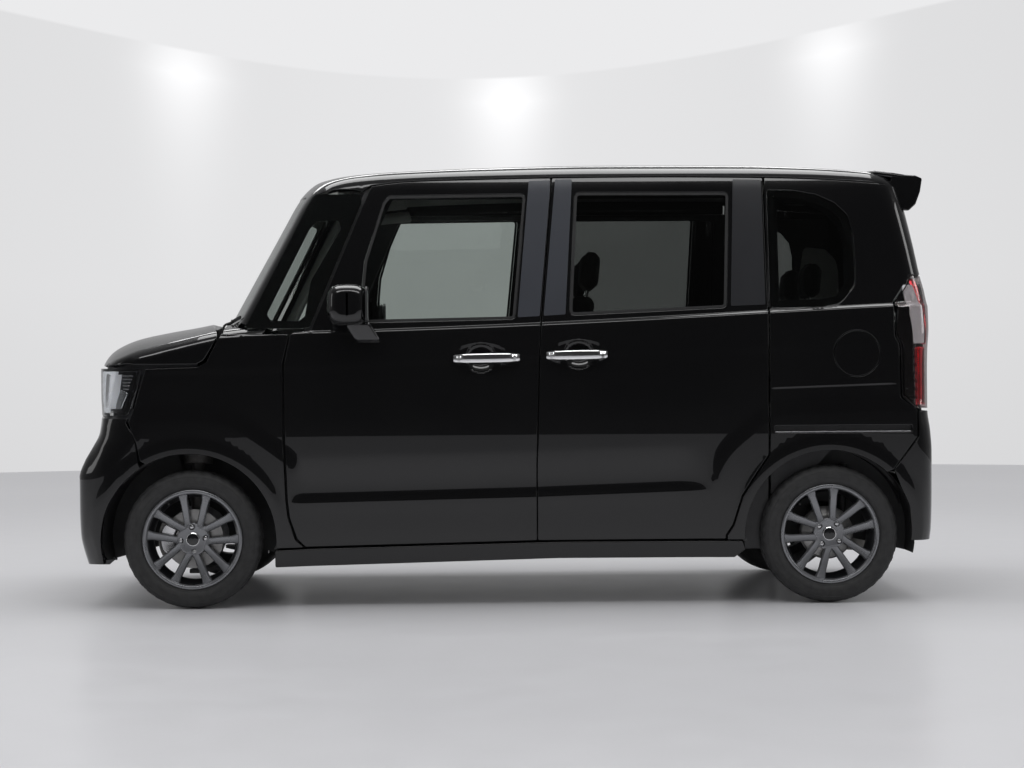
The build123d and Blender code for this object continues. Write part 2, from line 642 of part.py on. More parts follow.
# ---- cabin fittings -----------------------------------------------------------------
DASH = [(-984, 700), (-760, 640), (-690, 700), (-650, 830), (-672, 950), (-760, 1040), (-984, 1068)]
with BuildPart() as dashboard:
    add(side(DASH, 596, -596))
    add(block(-800, -640, -130, 130, 600, 820))
column_dir = (math.cos(math.radians(COLUMN_TILT)), 0, math.sin(math.radians(COLUMN_TILT)))
with BuildPart() as steering_column:
    with BuildSketch(Plane(origin=WHEEL_HUB, x_dir=(0, 1, 0), z_dir=column_dir).offset(-190)):
        Circle(38)
    extrude(amount=160)
    add(dashboard.part, mode=Mode.SUBTRACT)
with BuildPart() as steering_wheel:
    with BuildSketch(Plane(origin=WHEEL_HUB, x_dir=column_dir, z_dir=(0, -1, 0))):
        with Locations((0, STEER_R)):
            Circle(14)
    revolve(axis=Axis(WHEEL_HUB, column_dir))
    with BuildSketch(Plane(origin=WHEEL_HUB, x_dir=(0, 1, 0), z_dir=column_dir).offset(-24)):
        Circle(62)
    extrude(amount=34)
    with BuildSketch(Plane(origin=WHEEL_HUB, x_dir=(0, 1, 0), z_dir=column_dir).offset(-9)):
        Rectangle(2 * STEER_R - 12, 34)
        with Locations((0, -0.5 * (STEER_R - 6))):
            Rectangle(40, STEER_R - 6)
    extrude(amount=14)
with BuildPart() as front_seat_cushions:
    for y in SEAT_Y:
        add(block(-330, 180, y - 255, y + 255, 500, 650, 60))
    for y in SEAT_Y:
        add(block(-250, 120, y - 200, y + 200, 312, 500))
with BuildPart() as front_seat_backs:
    for y in SEAT_Y:
        add(side([(186, 580), (262, 580), (380, 1230), (292, 1230)], y + 235, y - 235))
        add(side([(308, 1256), (388, 1256), (404, 1420), (320, 1420)], y + 125, y - 125))
with BuildPart() as rear_seat_cushion:
    add(block(640, 1100, -505, 505, 520, 660, 50))
    add(block(700, 1060, -480, 480, 354, 520))
with BuildPart() as rear_seat_back:
    add(side([(1104, 600), (1190, 600), (1320, 1200), (1222, 1200)], 500, -500))
    for y in (-250, 250):
        add(side([(1240, 1222), (1318, 1222), (1334, 1370), (1252, 1370)], y + 110, y - 110))

# ---- front knuckles with their struts and brake callipers ------------------------------
with BuildPart() as knuckle_left:
    with BuildSketch(Plane.XZ.offset(598)):
        with Locations((AXLE_F, HUB_Z)):
            Circle(46)
    extrude(amount=46)
    add(block(AXLE_F - 20, AXLE_F + 20, -640, -604, 157, 240))
    add(block(AXLE_F - 26, AXLE_F + 26, -626, -530, 262, 352))
    with BuildSketch(Plane(origin=(AXLE_F, -545, 300), x_dir=(1, 0, 0), z_dir=(0, 45, 460))):
        Circle(24)
    extrude(amount=300)
    with BuildSketch(Plane(origin=(AXLE_F, -519, 566), x_dir=(1, 0, 0), z_dir=(0, 45, 460))):
        Circle(58)
    extrude(amount=190)
    for y, r0, r1, deep in CALLIPER:
        with BuildSketch(Plane.XZ.offset(y)):
            with BuildLine():
                CenterArc((AXLE_F, HUB_Z), r1, 152, 56)
                CenterArc((AXLE_F, HUB_Z), r0, 152, 56)
                Line(polar((AXLE_F, HUB_Z, r0), 0, 152), polar((AXLE_F, HUB_Z, r1), 0, 152))
                Line(polar((AXLE_F, HUB_Z, r0), 0, 208), polar((AXLE_F, HUB_Z, r1), 0, 208))
            make_face()
        extrude(amount=deep)
with BuildPart() as knuckle_right:
    mirror(knuckle_left.part, about=Plane.XZ)


# ---- road wheels ---------------------------------------------------------------------
def rim(x, front_wheel):
    """A left wheel at axle x: barrel, spokes, hub and its brake disc or drum."""
    y0 = -WHEEL_Y
    half = RIM_W / 2
    with BuildPart() as body:
        with BuildSketch(Plane.YZ.offset(x)):
            with BuildLine():
                Polyline((y0 - half, HUB_Z + RIM_R), (y0 - half, HUB_Z + RIM_R - 14), (y0 - half + 14, HUB_Z + 172), (y0 + half - 20, HUB_Z + 160), (y0 + half - 6, HUB_Z + 180), (y0 + half, HUB_Z + RIM_R - 6), (y0 + half, HUB_Z + RIM_R), (y0 + half - 12, HUB_Z + RIM_R), (y0 + half - 18, HUB_Z + 182), (y0 + half - 42, HUB_Z + 166), (y0 - half + 30, HUB_Z + 176), (y0 - half + 12, HUB_Z + RIM_R), close=True)
            make_face()
        revolve(axis=Axis((x, 0, HUB_Z), (0, 1, 0)))
        with BuildSketch(Plane.XZ.offset(WHEEL_Y + 22)):
            with Locations((x, HUB_Z)):
                for k in range(SPOKES):
                    a = 360 / SPOKES * (k // 2 * 2) + (11 if k % 2 else -11) + 90
                    with Locations(Location((0, 0), a)):
                        with Locations((112, 0)):
                            Rectangle(150, 20)
                Circle(62)
        extrude(amount=26)
        with BuildSketch(Plane.XZ.offset(650 if front_wheel else 596)):
            with Locations((x, HUB_Z)):
                Circle(117 if front_wheel else 104)
        extrude(amount=(12 if front_wheel else 62))
        with BuildSketch(Plane.XZ.offset(656)):
            with Locations((x, HUB_Z)):
                Circle(64)
        extrude(amount=22)
        with BuildSketch(Plane.XZ.offset(WHEEL_Y - 40)):
            with Locations((x, HUB_Z)):
                with PolarLocations(50, 4):
                    Circle(6)
        extrude(amount=120, mode=Mode.SUBTRACT)
    return body.part


def tyre(x):
    y0 = -WHEEL_Y
    half = TYRE_W / 2
    with BuildPart() as body:
        with BuildSketch(Plane.YZ.offset(x)):
            with BuildLine():
                Polyline((y0 - half + 19, HUB_Z + RIM_R + 1), (y0 - half + 3, HUB_Z + 216), (y0 - half, HUB_Z + 236), (y0 - half + 5, HUB_Z + 258), (y0 - half + 18, HUB_Z + TYRE_R), (y0 + half - 18, HUB_Z + TYRE_R), (y0 + half - 5, HUB_Z + 258), (y0 + half, HUB_Z + 236), (y0 + half - 3, HUB_Z + 216), (y0 + half - 19, HUB_Z + RIM_R + 1), close=True)
            make_face()
        revolve(axis=Axis((x, 0, HUB_Z), (0, 1, 0)))
    return body.part


front_rim, rear_rim, front_tyre, rear_tyre = rim(AXLE_F, True), rim(AXLE_R, False), tyre(AXLE_F), tyre(AXLE_R)
with BuildPart() as wheel_front_left:
    add(front_rim)
with BuildPart() as wheel_front_right:
    mirror(front_rim, about=Plane.XZ)
with BuildPart() as wheel_rear_left:
    add(rear_rim)
with BuildPart() as wheel_rear_right:
    mirror(rear_rim, about=Plane.XZ)
with BuildPart() as tyre_front_left:
    add(front_tyre)
with BuildPart() as tyre_front_right:
    mirror(front_tyre, about=Plane.XZ)
with BuildPart() as tyre_rear_left:
    add(rear_tyre)
with BuildPart() as tyre_rear_right:
    mirror(rear_tyre, about=Plane.XZ)

PIECES = {
    "body_side_left": body_side_left, "body_side_right": body_side_right, "roof_panel": roof_panel,
    "windscreen": windscreen, "quarter_glass": quarter_glass, "tail_lamps": tail_lamps,
    "rear_bumper": rear_bumper, "side_skirts": side_skirts, "front_fenders": front_fenders,
    "front_bumper": front_bumper, "front_grille": front_grille, 
    "headlamps": headlamps, "bonnet": bonnet, "cowl_panel": cowl_panel,
    "front_door_left": front_door_left, "front_door_right": front_door_right,
    "front_door_glass_left": front_door_glass_left, "front_door_glass_right": front_door_glass_right,
    "door_handle_left": door_handle_left, "door_handle_right": door_handle_right,
    "door_mirror_left": door_mirror_left, "door_mirror_right": door_mirror_right,
    "sliding_door_left": sliding_door_left, "sliding_door_right": sliding_door_right,
    "sliding_door_glass": sliding_door_glass, "sliding_door_handles": sliding_door_handles,
    "tailgate": tailgate, "tailgate_glass": tailgate_glass, "rear_spoiler": rear_spoiler,
    "fuel_lid": fuel_lid, "fuel_filler": fuel_filler, "floor_pan": floor_pan, "bulkhead": bulkhead,
    "rear_wheelhouses": rear_wheelhouses, "front_aprons": front_aprons, "engine_block": engine_block,
    "radiator": radiator, "front_subframe": front_subframe, 
    "rear_axle_beam": rear_axle_beam, "rear_springs": rear_springs, "fuel_tank": fuel_tank,
    "exhaust": exhaust, "dashboard": dashboard, "steering_column": steering_column,
    "steering_wheel": steering_wheel, "front_seat_cushions": front_seat_cushions,
    "front_seat_backs": front_seat_backs, "rear_seat_cushion": rear_seat_cushion,
    "rear_seat_back": rear_seat_back, 
    "knuckle_left": knuckle_left, "knuckle_right": knuckle_right,
    "wheel_front_left": wheel_front_left, "wheel_front_right": wheel_front_right,
    "wheel_rear_left": wheel_rear_left, "wheel_rear_right": wheel_rear_right,
    "tyre_front_left": tyre_front_left, "tyre_front_right": tyre_front_right,
    "tyre_rear_left": tyre_rear_left, "tyre_rear_right": tyre_rear_right,
}
for name, piece in PIECES.items():
    piece.part.label = name
    export_step(piece.part, "parts/" + name + ".step")
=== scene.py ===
import math

import bpy
import bmesh
import numpy as np
from mathutils import Vector, Matrix
from mathutils.geometry import delaunay_2d_cdt


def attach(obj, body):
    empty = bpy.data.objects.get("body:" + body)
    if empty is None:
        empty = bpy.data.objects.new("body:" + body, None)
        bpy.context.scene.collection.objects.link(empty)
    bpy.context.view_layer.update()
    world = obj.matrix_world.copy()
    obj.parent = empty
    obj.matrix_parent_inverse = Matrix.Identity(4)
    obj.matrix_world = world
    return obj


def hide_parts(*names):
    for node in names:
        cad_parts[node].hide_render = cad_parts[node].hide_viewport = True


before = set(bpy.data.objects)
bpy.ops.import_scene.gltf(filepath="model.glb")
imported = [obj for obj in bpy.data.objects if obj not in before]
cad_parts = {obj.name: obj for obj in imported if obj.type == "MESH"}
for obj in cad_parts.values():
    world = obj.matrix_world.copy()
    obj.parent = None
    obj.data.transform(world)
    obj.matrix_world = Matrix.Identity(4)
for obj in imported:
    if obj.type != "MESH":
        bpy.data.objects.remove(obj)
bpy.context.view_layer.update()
RNG = np.random.default_rng(7)

# ============================================================ helpers (all sizes in millimetres)


def pchip(xs, ys):
    xs, ys = np.asarray(xs, float), np.asarray(ys, float)
    h, d = np.diff(xs), np.diff(ys) / np.diff(xs)
    m = np.zeros(len(xs))
    for i in range(1, len(xs) - 1):
        if d[i - 1] * d[i] > 0:
            w1, w2 = 2 * h[i] + h[i - 1], h[i] + 2 * h[i - 1]
            m[i] = (w1 + w2) / (w1 / d[i - 1] + w2 / d[i])
    m[0], m[-1] = d[0], d[-1]

    def f(x):
        x = np.asarray(x, float)
        xc = np.clip(x, xs[0], xs[-1])
        i = np.clip(np.searchsorted(xs, xc, side="right") - 1, 0, len(xs) - 2)
        t = (xc - xs[i]) / h[i]
        t2, t3 = t * t, t * t * t
        return (2 * t3 - 3 * t2 + 1) * ys[i] + (t3 - 2 * t2 + t) * h[i] * m[i] + (-2 * t3 + 3 * t2) * ys[i + 1] + (t3 - t2) * h[i] * m[i + 1]

    return f


def sstep(a, b, x):
    t = np.clip((np.asarray(x, float) - a) / (b - a), 0, 1)
    return t * t * (3 - 2 * t)


def lin(xs, ys):
    return lambda x: np.interp(x, xs, ys)


def seg_dist(px, pz, line):
    """Distance to a polyline, signed: positive on its left side (walking along it)."""
    best, sign = np.full(np.shape(px), 1e9), np.ones(np.shape(px))
    for (ax, az), (bx, bz) in zip(line, line[1:]):
        dx, dz = bx - ax, bz - az
        L2 = dx * dx + dz * dz
        t = np.clip(((px - ax) * dx + (pz - az) * dz) / L2, 0, 1)
        d = np.hypot(px - ax - t * dx, pz - az - t * dz)
        s = np.where(dx * (pz - az) - dz * (px - ax) >= 0, 1.0, -1.0)
        sign = np.where(d < best, s, sign)
        best = np.minimum(best, d)
    return best * sign


def rounded(pts, r=12.0, n=5):
    """A closed polygon with its corners rounded; r is one radius or one for each corner."""
    rs = [r] * len(pts) if np.isscalar(r) else list(r)
    kept = [i for i in range(len(pts)) if math.hypot(pts[i][0] - pts[i - 1][0], pts[i][1] - pts[i - 1][1]) > 0.8]
    pts, rs = [pts[i] for i in kept], [rs[i] for i in kept]
    out, k = [], len(pts)
    for i in range(k):
        p, a, b = np.array(pts[i], float), np.array(pts[i - 1], float), np.array(pts[(i + 1) % k], float)
        va, vb = a - p, b - p
        la, lb = np.linalg.norm(va), np.linalg.norm(vb)
        va, vb = va / la, vb / lb
        c = np.clip(va @ vb, -1, 1)
        ang = math.acos(c)
        if rs[i] <= 0.01 or ang > math.pi - 0.02:
            out.append(tuple(p))
            continue
        t = min(rs[i] / math.tan(ang / 2), 0.46 * la, 0.46 * lb)
        pa, pb = p + va * t, p + vb * t
        for j in range(n + 1):
            s = j / n
            out.append(tuple((1 - s) ** 2 * pa + 2 * s * (1 - s) * p + s * s * pb))
    return out


def dense(loop, step):
    out = []
    for a, b in zip(loop, loop[1:] + loop[:1]):
        a, b = np.array(a, float), np.array(b, float)
        n = max(1, int(np.ceil(np.linalg.norm(b - a) / step)))
        for j in range(n):
            out.append(tuple(a + (b - a) * j / n))
    clean = []
    for p in out:
        if not clean or math.hypot(p[0] - clean[-1][0], p[1] - clean[-1][1]) > 0.3:
            clean.append(p)
    if math.hypot(clean[0][0] - clean[-1][0], clean[0][1] - clean[-1][1]) < 0.3:
        clean.pop()
    return clean


def area2(loop):
    a = np.array(loop)
    return 0.5 * np.sum(a[:, 0] * np.roll(a[:, 1], -1) - np.roll(a[:, 0], -1) * a[:, 1])


def inside(px, pz, loop):
    a = np.array(loop)
    b = np.roll(a, -1, axis=0)
    res = np.zeros(len(px), bool)
    for (x0, z0), (x1, z1) in zip(a, b):
        if z0 == z1:
            continue
        hit = ((z0 > pz) != (z1 > pz)) & (px < (x1 - x0) * (pz - z0) / (z1 - z0) + x0)
        res ^= hit
    return res


def loop_normals(loop):
    a = np.array(loop)
    t = np.roll(a, -1, axis=0) - np.roll(a, 1, axis=0)
    t /= np.maximum(np.linalg.norm(t, axis=1, keepdims=True), 1e-9)
    return np.stack([t[:, 1], -t[:, 0]], 1)


def near_loop(px, pz, loop, dist):
    """True where a point is nearer than dist to the loop's vertices (they are dense)."""
    a = np.array(loop)
    out = np.zeros(len(px), bool)
    for s in range(0, len(a), 64):
        c = a[s:s + 64]
        d = (px[:, None] - c[None, :, 0]) ** 2 + (pz[:, None] - c[None, :, 1]) ** 2
        out |= (d < dist * dist).any(1)
    return out


def fill(loops, step, extra=(), fine=()):
    """Triangulates the region between loops (outer anticlockwise, holes clockwise). Returns points, faces and, for each loop, its indices."""
    pts, edges, spans = [], [], []
    for lp in loops:
        s = len(pts)
        pts += [Vector(p) for p in lp]
        n = len(lp)
        edges += [(s + i, s + (i + 1) % n) for i in range(n)]
        spans.append((s, n))
    a = np.array(loops[0])
    x0, x1, z0, z1 = a[:, 0].min(), a[:, 0].max(), a[:, 1].min(), a[:, 1].max()
    hz = step * math.sqrt(3) / 2
    rows = np.arange(z0 + hz / 2, z1, hz)
    if not len(rows):
        rows = [(z0 + z1) / 2]
    gx, gz = [], []
    for i, z in enumerate(rows):
        xs = np.arange(x0 + (step / 2 if i % 2 else 0) + 0.11, x1, step)
        gx.append(xs)
        gz.append(np.full(len(xs), z + 0.07))
    gx, gz = np.concatenate(gx), np.concatenate(gz)
    for fx, fz, fr, fs in fine:
        k = np.hypot(gx - fx, gz - fz) > fr
        gx, gz = gx[k], gz[k]
        h = fs * math.sqrt(3) / 2
        ex, ez = [], []
        for i, z in enumerate(np.arange(fz - fr, fz + fr, h)):
            xs = np.arange(fx - fr + (fs / 2 if i % 2 else 0), fx + fr, fs)
            ex.append(xs)
            ez.append(np.full(len(xs), z))
        ex, ez = np.concatenate(ex), np.concatenate(ez)
        k = np.hypot(ex - fx, ez - fz) < fr - fs * 0.4
        gx, gz = np.concatenate([gx, ex[k]]), np.concatenate([gz, ez[k]])
    if len(extra):
        e = np.array(extra)
        k = in_band(gx, gz) == 0
        gx, gz = gx[k], gz[k]
        gx, gz = np.concatenate([gx, e[:, 0]]), np.concatenate([gz, e[:, 1]])
    ok = inside(gx, gz, loops[0])
    for lp in loops[1:]:
        ok &= ~inside(gx, gz, lp)
    gx, gz = gx[ok], gz[ok]
    ok = np.ones(len(gx), bool)
    for lp in loops:
        ok &= ~near_loop(gx, gz, lp, min(step * 0.45, 5.0))
    gx, gz = gx[ok], gz[ok]
    pts += [Vector((x, z)) for x, z in zip(gx, gz)]
    v, e, f, ov, oe, of_ = delaunay_2d_cdt(pts, edges, [], 0, 1e-4)
    P = np.array([(p.x, p.y) for p in v])
    F = np.array([t for t in f if len(t) == 3])
    c = P[F].mean(1)
    ok = inside(c[:, 0], c[:, 1], loops[0])
    for lp in loops[1:]:
        ok &= ~inside(c[:, 0], c[:, 1], lp)
    F = F[ok]
    A = P[F]
    ar = (A[:, 1, 0] - A[:, 0, 0]) * (A[:, 2, 1] - A[:, 0, 1]) - (A[:, 2, 0] - A[:, 0, 0]) * (A[:, 1, 1] - A[:, 0, 1])
    F[ar < 0] = F[ar < 0][:, ::-1]
    where = {}
    for i, o in enumerate(ov):
        for k in o:
            where[k] = i
    idx = [[where[s + i] for i in range(n)] for s, n in spans]
    return P, F, idx


def collect(name):
    c = bpy.data.collections.get(name)
    if c is None:
        c = bpy.data.collections.new(name)
        bpy.context.scene.collection.children.link(c)
    return c


def build(name, verts, faces, mat, body="car_body", normals=None, replaces=(), mirror=False, flat=False, autosmooth=None):
    """A mesh piece from vertices in millimetres, riding on a body."""
    v = np.asarray(verts, float).copy()
    f = [tuple(int(i) for i in t) for t in faces]
    if mirror:
        v[:, 1] *= -1
        f = [t[::-1] for t in f]
    me = bpy.data.meshes.new(name)
    me.from_pydata((v / 1000.0).tolist(), [], f)
    me.validate()
    me.update()
    me.polygons.foreach_set("use_smooth", [not flat] * len(me.polygons))
    if normals is not None and len(me.vertices) == len(v):
        n = np.asarray(normals, float).copy()
        if mirror:
            n[:, 1] *= -1
        n /= np.maximum(np.linalg.norm(n, axis=1, keepdims=True), 1e-9)
        me.normals_split_custom_set_from_vertices(n.tolist())
    elif autosmooth is not None:
        me.set_sharp_from_angle(angle=math.radians(autosmooth))
    ob = bpy.data.objects.new(name, me)
    collect("car").objects.link(ob)
    ob.data.materials.append(mat)
    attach(ob, body)
    if replaces:
        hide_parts(*replaces)
    return ob


# ============================================================ the car's outer form

W_LOW = pchip([100, 165, 215, 250, 350, 450, 600, 760, 880, 1000, 1100, 1180, 1300], [672, 700, 709, 716, 725, 731, 735.5, 737.5, 737.0, 733.5, 727, 720, 708])
W_UP = pchip([1000, 1100, 1160, 1300, 1450, 1550, 1620, 1665, 1700, 1730, 1760, 1790], [733, 720.5, 711.5, 689, 664.5, 648, 636, 627, 616, 600, 575, 530])
BELT = pchip([-1700, -1124, -849, -535, 132, 1036, 1323, 1500, 1700], [1040, 1068, 1083, 1090, 1112, 1155, 1170, 1178, 1184])
LOWLINE = lin([-1700, -860, 110, 879, 1700], [400, 414, 432, 456, 476])
CREASE = lin([-1700, -870, 129, 1034, 1700], [935, 957, 997, 1022, 1040])
FLARE_F = [(-1700, 776), (-1464, 783), (-1240, 788), (-1144, 782), (-1046, 755), (-864, 625), (-815, 575), (-800, 520)]
FLARE_R = [(800, 520), (838, 610), (900, 675), (1033, 779), (1090, 792), (1250, 800), (1460, 806), (1700, 812)]
ARCH_F, ARCH_R = (-1252.0, 270.0, 341.0), (1276.0, 272.0, 334.0)
CUPS = [(-99.0, 980.0, 60.0), (287.0, 991.0, 60.0)]

# nose plan: height -> front x, sagitta, corner depth, corner width
N_Z = [165, 230, 290, 400, 520, 580, 640, 700, 757, 830, 957, 1050]
N_XF = pchip(N_Z, [-1672, -1686, -1695, -1697, -1697, -1694, -1688, -1681, -1676, -1675, -1674, -1668])
N_SG = pchip(N_Z, [10, 6, 4, 3, 3, 20, 48, 70, 72, 66, 64, 70])
N_RX = pchip(N_Z, [130, 136, 140, 145, 150, 158, 170, 182, 190, 195, 200, 205])
N_RY = pchip(N_Z, [90, 90, 90, 93, 95, 97, 100, 108, 115, 118, 120, 124])
R_Z = [165, 260, 300, 420, 520, 600, 680, 760, 900, 1000, 1095, 1160, 1230, 1300, 1420, 1550, 1660, 1710, 1790]
R_XR = pchip(R_Z, [1682, 1696, 1700, 1702, 1702, 1702, 1697, 1687, 1687, 1690, 1697, 1697, 1689, 1673, 1652, 1626, 1600, 1586, 1564])
R_RR = pchip(R_Z, [60, 66, 68, 70, 71, 72, 75, 77, 77, 79, 81, 85, 88, 90, 94, 98, 100, 102, 102])
R_SG = 5.0


def width(x, z):
    b = BELT(x)
    k = sstep(b - 7, b + 9, z)
    return W_LOW(z) * (1 - k) + W_UP(z) * k


def soften(line, times=4):
    for _ in range(times):
        out = [line[0]]
        for (a, b), (c, d) in zip(line, line[1:]):
            out += [(0.75 * a + 0.25 * c, 0.75 * b + 0.25 * d), (0.25 * a + 0.75 * c, 0.25 * b + 0.75 * d)]
        line = out + [line[-1]]
    return line


FLARE_F, FLARE_R = soften(FLARE_F), soften(FLARE_R)


def side_detail(x, z):
    """How far the side stands out from its plain form."""
    d = np.zeros(np.broadcast(x, z).shape)
    t = z - LOWLINE(x)
    ends = sstep(-862, -800, x) * (1 - sstep(640, 830, x))
    up = np.where(t < 42, 1 - (1 - np.clip(t, 0, 42) / 42) ** 2, 1 - sstep(48, 190, t))
    d = d - 8.5 * ends * np.where(t > 0, up, 0)
    d = d - 1.2 * sstep(-2, -60, t) * ends
    f = seg_dist(x, z, FLARE_F)
    front = sstep(-780, -860, x)
    d = d + 7.5 * front * sstep(14, -46, f) * sstep(-1640, -1560, x)
    g = seg_dist(x, z, FLARE_R)
    rear = sstep(790, 840, x)
    d = d + 7.5 * rear * sstep(14, -46, g) * sstep(1690, 1600, x)
    for cx, cz, r in (ARCH_F, ARCH_R):
        a = np.hypot(x - cx, z - cz) - r
        d = d + 3.4 * sstep(68, 22, a) * (np.abs(x - cx) < 420)
    c = CREASE(x) - z
    d = d - 1.5 * sstep(0, 34, c) * (1 - sstep(70, 260, c)) * sstep(-1480, -1380, x) * (1 - sstep(1330, 1500, x))
    e = z - (856 + 0.0314 * (x - 1041))
    d = d + 1.2 * np.exp(-(e / 4.8) ** 2) * sstep(1041, 1060, x) * (1 - sstep(1500, 1556, x))
    for cx, cz, r in CUPS:
        q = np.hypot((x - cx), (z - cz)) / r
        d = d - 25 * np.clip(1 - q * q, 0, 1) ** 0.75
        q = np.hypot((x - cx) / 128.0, (z - cz - 2) / 62.0)
        d = d - 2.5 * sstep(1.0, 0.72, q)
    return d


def in_band(x, z):
    """Which quick turn of the side a point lies in: 1 belt, 2 lower line, 3 arch lip, 4 flare, 0 none."""
    k = np.zeros(np.shape(x), int)
    k[(x > 1044) & (x < 1556) & (np.abs(z - 856 - 0.0314 * (x - 1041)) < 18)] = 5
    f, g = seg_dist(x, z, FLARE_F), seg_dist(x, z, FLARE_R)
    k[((x < -790) & (f > -58) & (f < 26)) | ((x > 795) & (g > -58) & (g < 26))] = 4
    for cx, cz, r in (ARCH_F, ARCH_R):
        a = np.hypot(x - cx, z - cz) - r
        k[(a < 75) & (z > cz - 60)] = 3
    t = z - LOWLINE(x)
    k[(np.abs(x) < 875) & (t > -9) & (t < 50)] = 2
    k[np.abs(z - BELT(x) - 2) < 18] = 1
    return k


def band_rows():
    """Rows of points that follow those turns, so that the mesh runs along them."""
    out = []

    def add(x, z, kind):
        x, z = np.asarray(x, float), np.asarray(z, float)
        k = in_band(x, z)
        ok = (k == kind) & (x > -1440) & (x < 1540)
        out.append(np.stack([x[ok], z[ok]], -1))

    for o in (-10.0, -4.5, 0.0, 4.5, 9.0, 14.0):
        x = np.arange(-1440, 1540, 17.0)
        add(x, BELT(x) + o, 1)
    for o in (-3.0, 4.0, 11.0, 18.0, 26.0, 34.0, 43.0):
        x = np.arange(-870, 870, 17.0)
        add(x, LOWLINE(x) + o, 2)
    for o in (-13.0, -9.0, -5.5, -2.5, 0.0, 2.5, 5.5, 9.0, 13.0):
        x = np.arange(1048, 1540, 17.0)
        add(x, 856 + 0.0314 * (x - 1041) + o, 5)
    for cx, cz, r in (ARCH_F, ARCH_R):
        for i, o in enumerate((10.0, 20.0, 29.0, 38.0, 47.0, 56.0, 66.0)):
            a = np.arange(-10, 190, math.degrees(16.0 / (r + 40))) + (1.2 if i % 2 else 0)
            a = np.radians(a)
            add(cx + (r + o) * np.cos(a), cz + (r + o) * np.sin(a), 3)
    for line in (FLARE_F, FLARE_R):
        q = np.array(line)
        L = np.concatenate([[0], np.cumsum(np.hypot(*np.diff(q, axis=0).T))])
        for i, o in enumerate((-50.0, -40.0, -30.0, -20.0, -10.0, 0.0, 10.0, 19.0)):
            t = np.arange(4, L[-1], 16.0) + (8 if i % 2 else 0)
            x, z = np.interp(t, L, q[:, 0]), np.interp(t, L, q[:, 1])
            dx, dz = np.interp(t + 5, L, q[:, 0]) - np.interp(t - 5, L, q[:, 0]), np.interp(t + 5, L, q[:, 1]) - np.interp(t - 5, L, q[:, 1])
            h = np.maximum(np.hypot(dx, dz), 1e-6)
            add(x - dz / h * o, z + dx / h * o, 4)
    return np.concatenate(out)


def plan(z):
    w = None
    return N_XF(z), N_SG(z), N_RX(z), N_RY(z), R_XR(z), R_RR(z)


def body_point(u, z, detail=True):
    """The left half of the body. u is x along the side, and goes on round the corners as a length."""
    u, z = np.broadcast_arrays(np.asarray(u, float), np.asarray(z, float))
    xf, sg, rx, ry, xr, rr = plan(z)
    w = width(u, z)
    ca = xf + sg + rx
    C = math.pi / 2 * np.sqrt((rx * rx + ry * ry) / 2)
    F = w - ry
    cb = xr - R_SG - rr
    D = math.pi / 2 * rr
    G = w - rr
    x, y = u.copy(), -w.copy()
    if detail:
        y = y - side_detail(u, z)
    k = u < ca
    ph = np.clip((ca - u) / C, 0, 1) * math.pi / 2
    dd = side_detail(u, z) if detail else 0 * u
    xc = ca - rx * np.sin(ph) - dd * np.sin(ph)
    yc = -(w - ry) - ry * np.cos(ph) - dd * np.cos(ph)
    q = np.clip((ca - C - u) / F, 0, 1)
    yf = -(w - ry) * (1 - q)
    xff = xf + sg * (yf / np.maximum(w - ry, 1)) ** 2 - dd
    x = np.where(k, np.where(u < ca - C, xff, xc), x)
    y = np.where(k, np.where(u < ca - C, yf, yc), y)
    k = u > cb
    ph = np.clip((u - cb) / D, 0, 1) * math.pi / 2
    xc = cb + (rr + dd) * np.sin(ph)
    yc = -(w - rr) - (rr + dd) * np.cos(ph)
    q = np.clip((u - cb - D) / G, 0, 1)
    yf = -(w - rr) * (1 - q)
    xff = xr - R_SG * (yf / np.maximum(w - rr, 1)) ** 2
    x = np.where(k, np.where(u > cb + D, xff, xc), x)
    y = np.where(k, np.where(u > cb + D, yf, yc), y)
    return np.stack([x, y, z], -1)


def u_of_x(x, z, rear=False):
    """u of a point whose side-view place is x, on the side or a corner."""
    xf, sg, rx, ry, xr, rr = [float(v) for v in plan(z)]
    if not rear:
        ca = xf + sg + rx
        if x >= ca:
            return x
        C = math.pi / 2 * math.sqrt((rx * rx + ry * ry) / 2)
        return ca - C * math.asin(min(1, (ca - x) / rx)) / (math.pi / 2)
    cb = xr - R_SG - rr
    if x <= cb:
        return x
    return cb + math.pi / 2 * rr * math.asin(min(1, (x - cb) / rr)) / (math.pi / 2)


def u_of_y(y, z, rear=False):
    """u of a point on the front or rear face, or its corner, at half width y."""
    xf, sg, rx, ry, xr, rr = [float(v) for v in plan(z)]
    w = float(width(-1700.0 if not rear else 1700.0, z))
    if not rear:
        ca = xf + sg + rx
        C = math.pi / 2 * math.sqrt((rx * rx + ry * ry) / 2)
        if y <= w - ry:
            return ca - C - (w - ry) * (1 - y / (w - ry))
        return ca - C * math.acos(min(1, (y - (w - ry)) / ry)) / (math.pi / 2)
    cb = xr - R_SG - rr
    D = math.pi / 2 * rr
    if y <= w - rr:
        return cb + D + (w - rr) * (1 - y / (w - rr))
    return cb + D * math.acos(min(1, (y - (w - rr)) / rr)) / (math.pi / 2)


def X(pts):
    return [(u_of_x(x, z), z) for x, z in pts]


def XR(pts):
    return [(u_of_x(x, z, True), z) for x, z in pts]


def surf_frame(point, u, z, h=0.8):
    p = point(u, z)
    pu = point(u + h, z) - point(u - h, z)
    pz = point(u, z + h) - point(u, z - h)
    n = np.cross(pu, pz)
    n /= np.maximum(np.linalg.norm(n, axis=-1, keepdims=True), 1e-9)
    pu /= np.maximum(np.linalg.norm(pu, axis=-1, keepdims=True), 1e-9)
    pz /= np.maximum(np.linalg.norm(pz, axis=-1, keepdims=True), 1e-9)
    return p, n, pu, pz


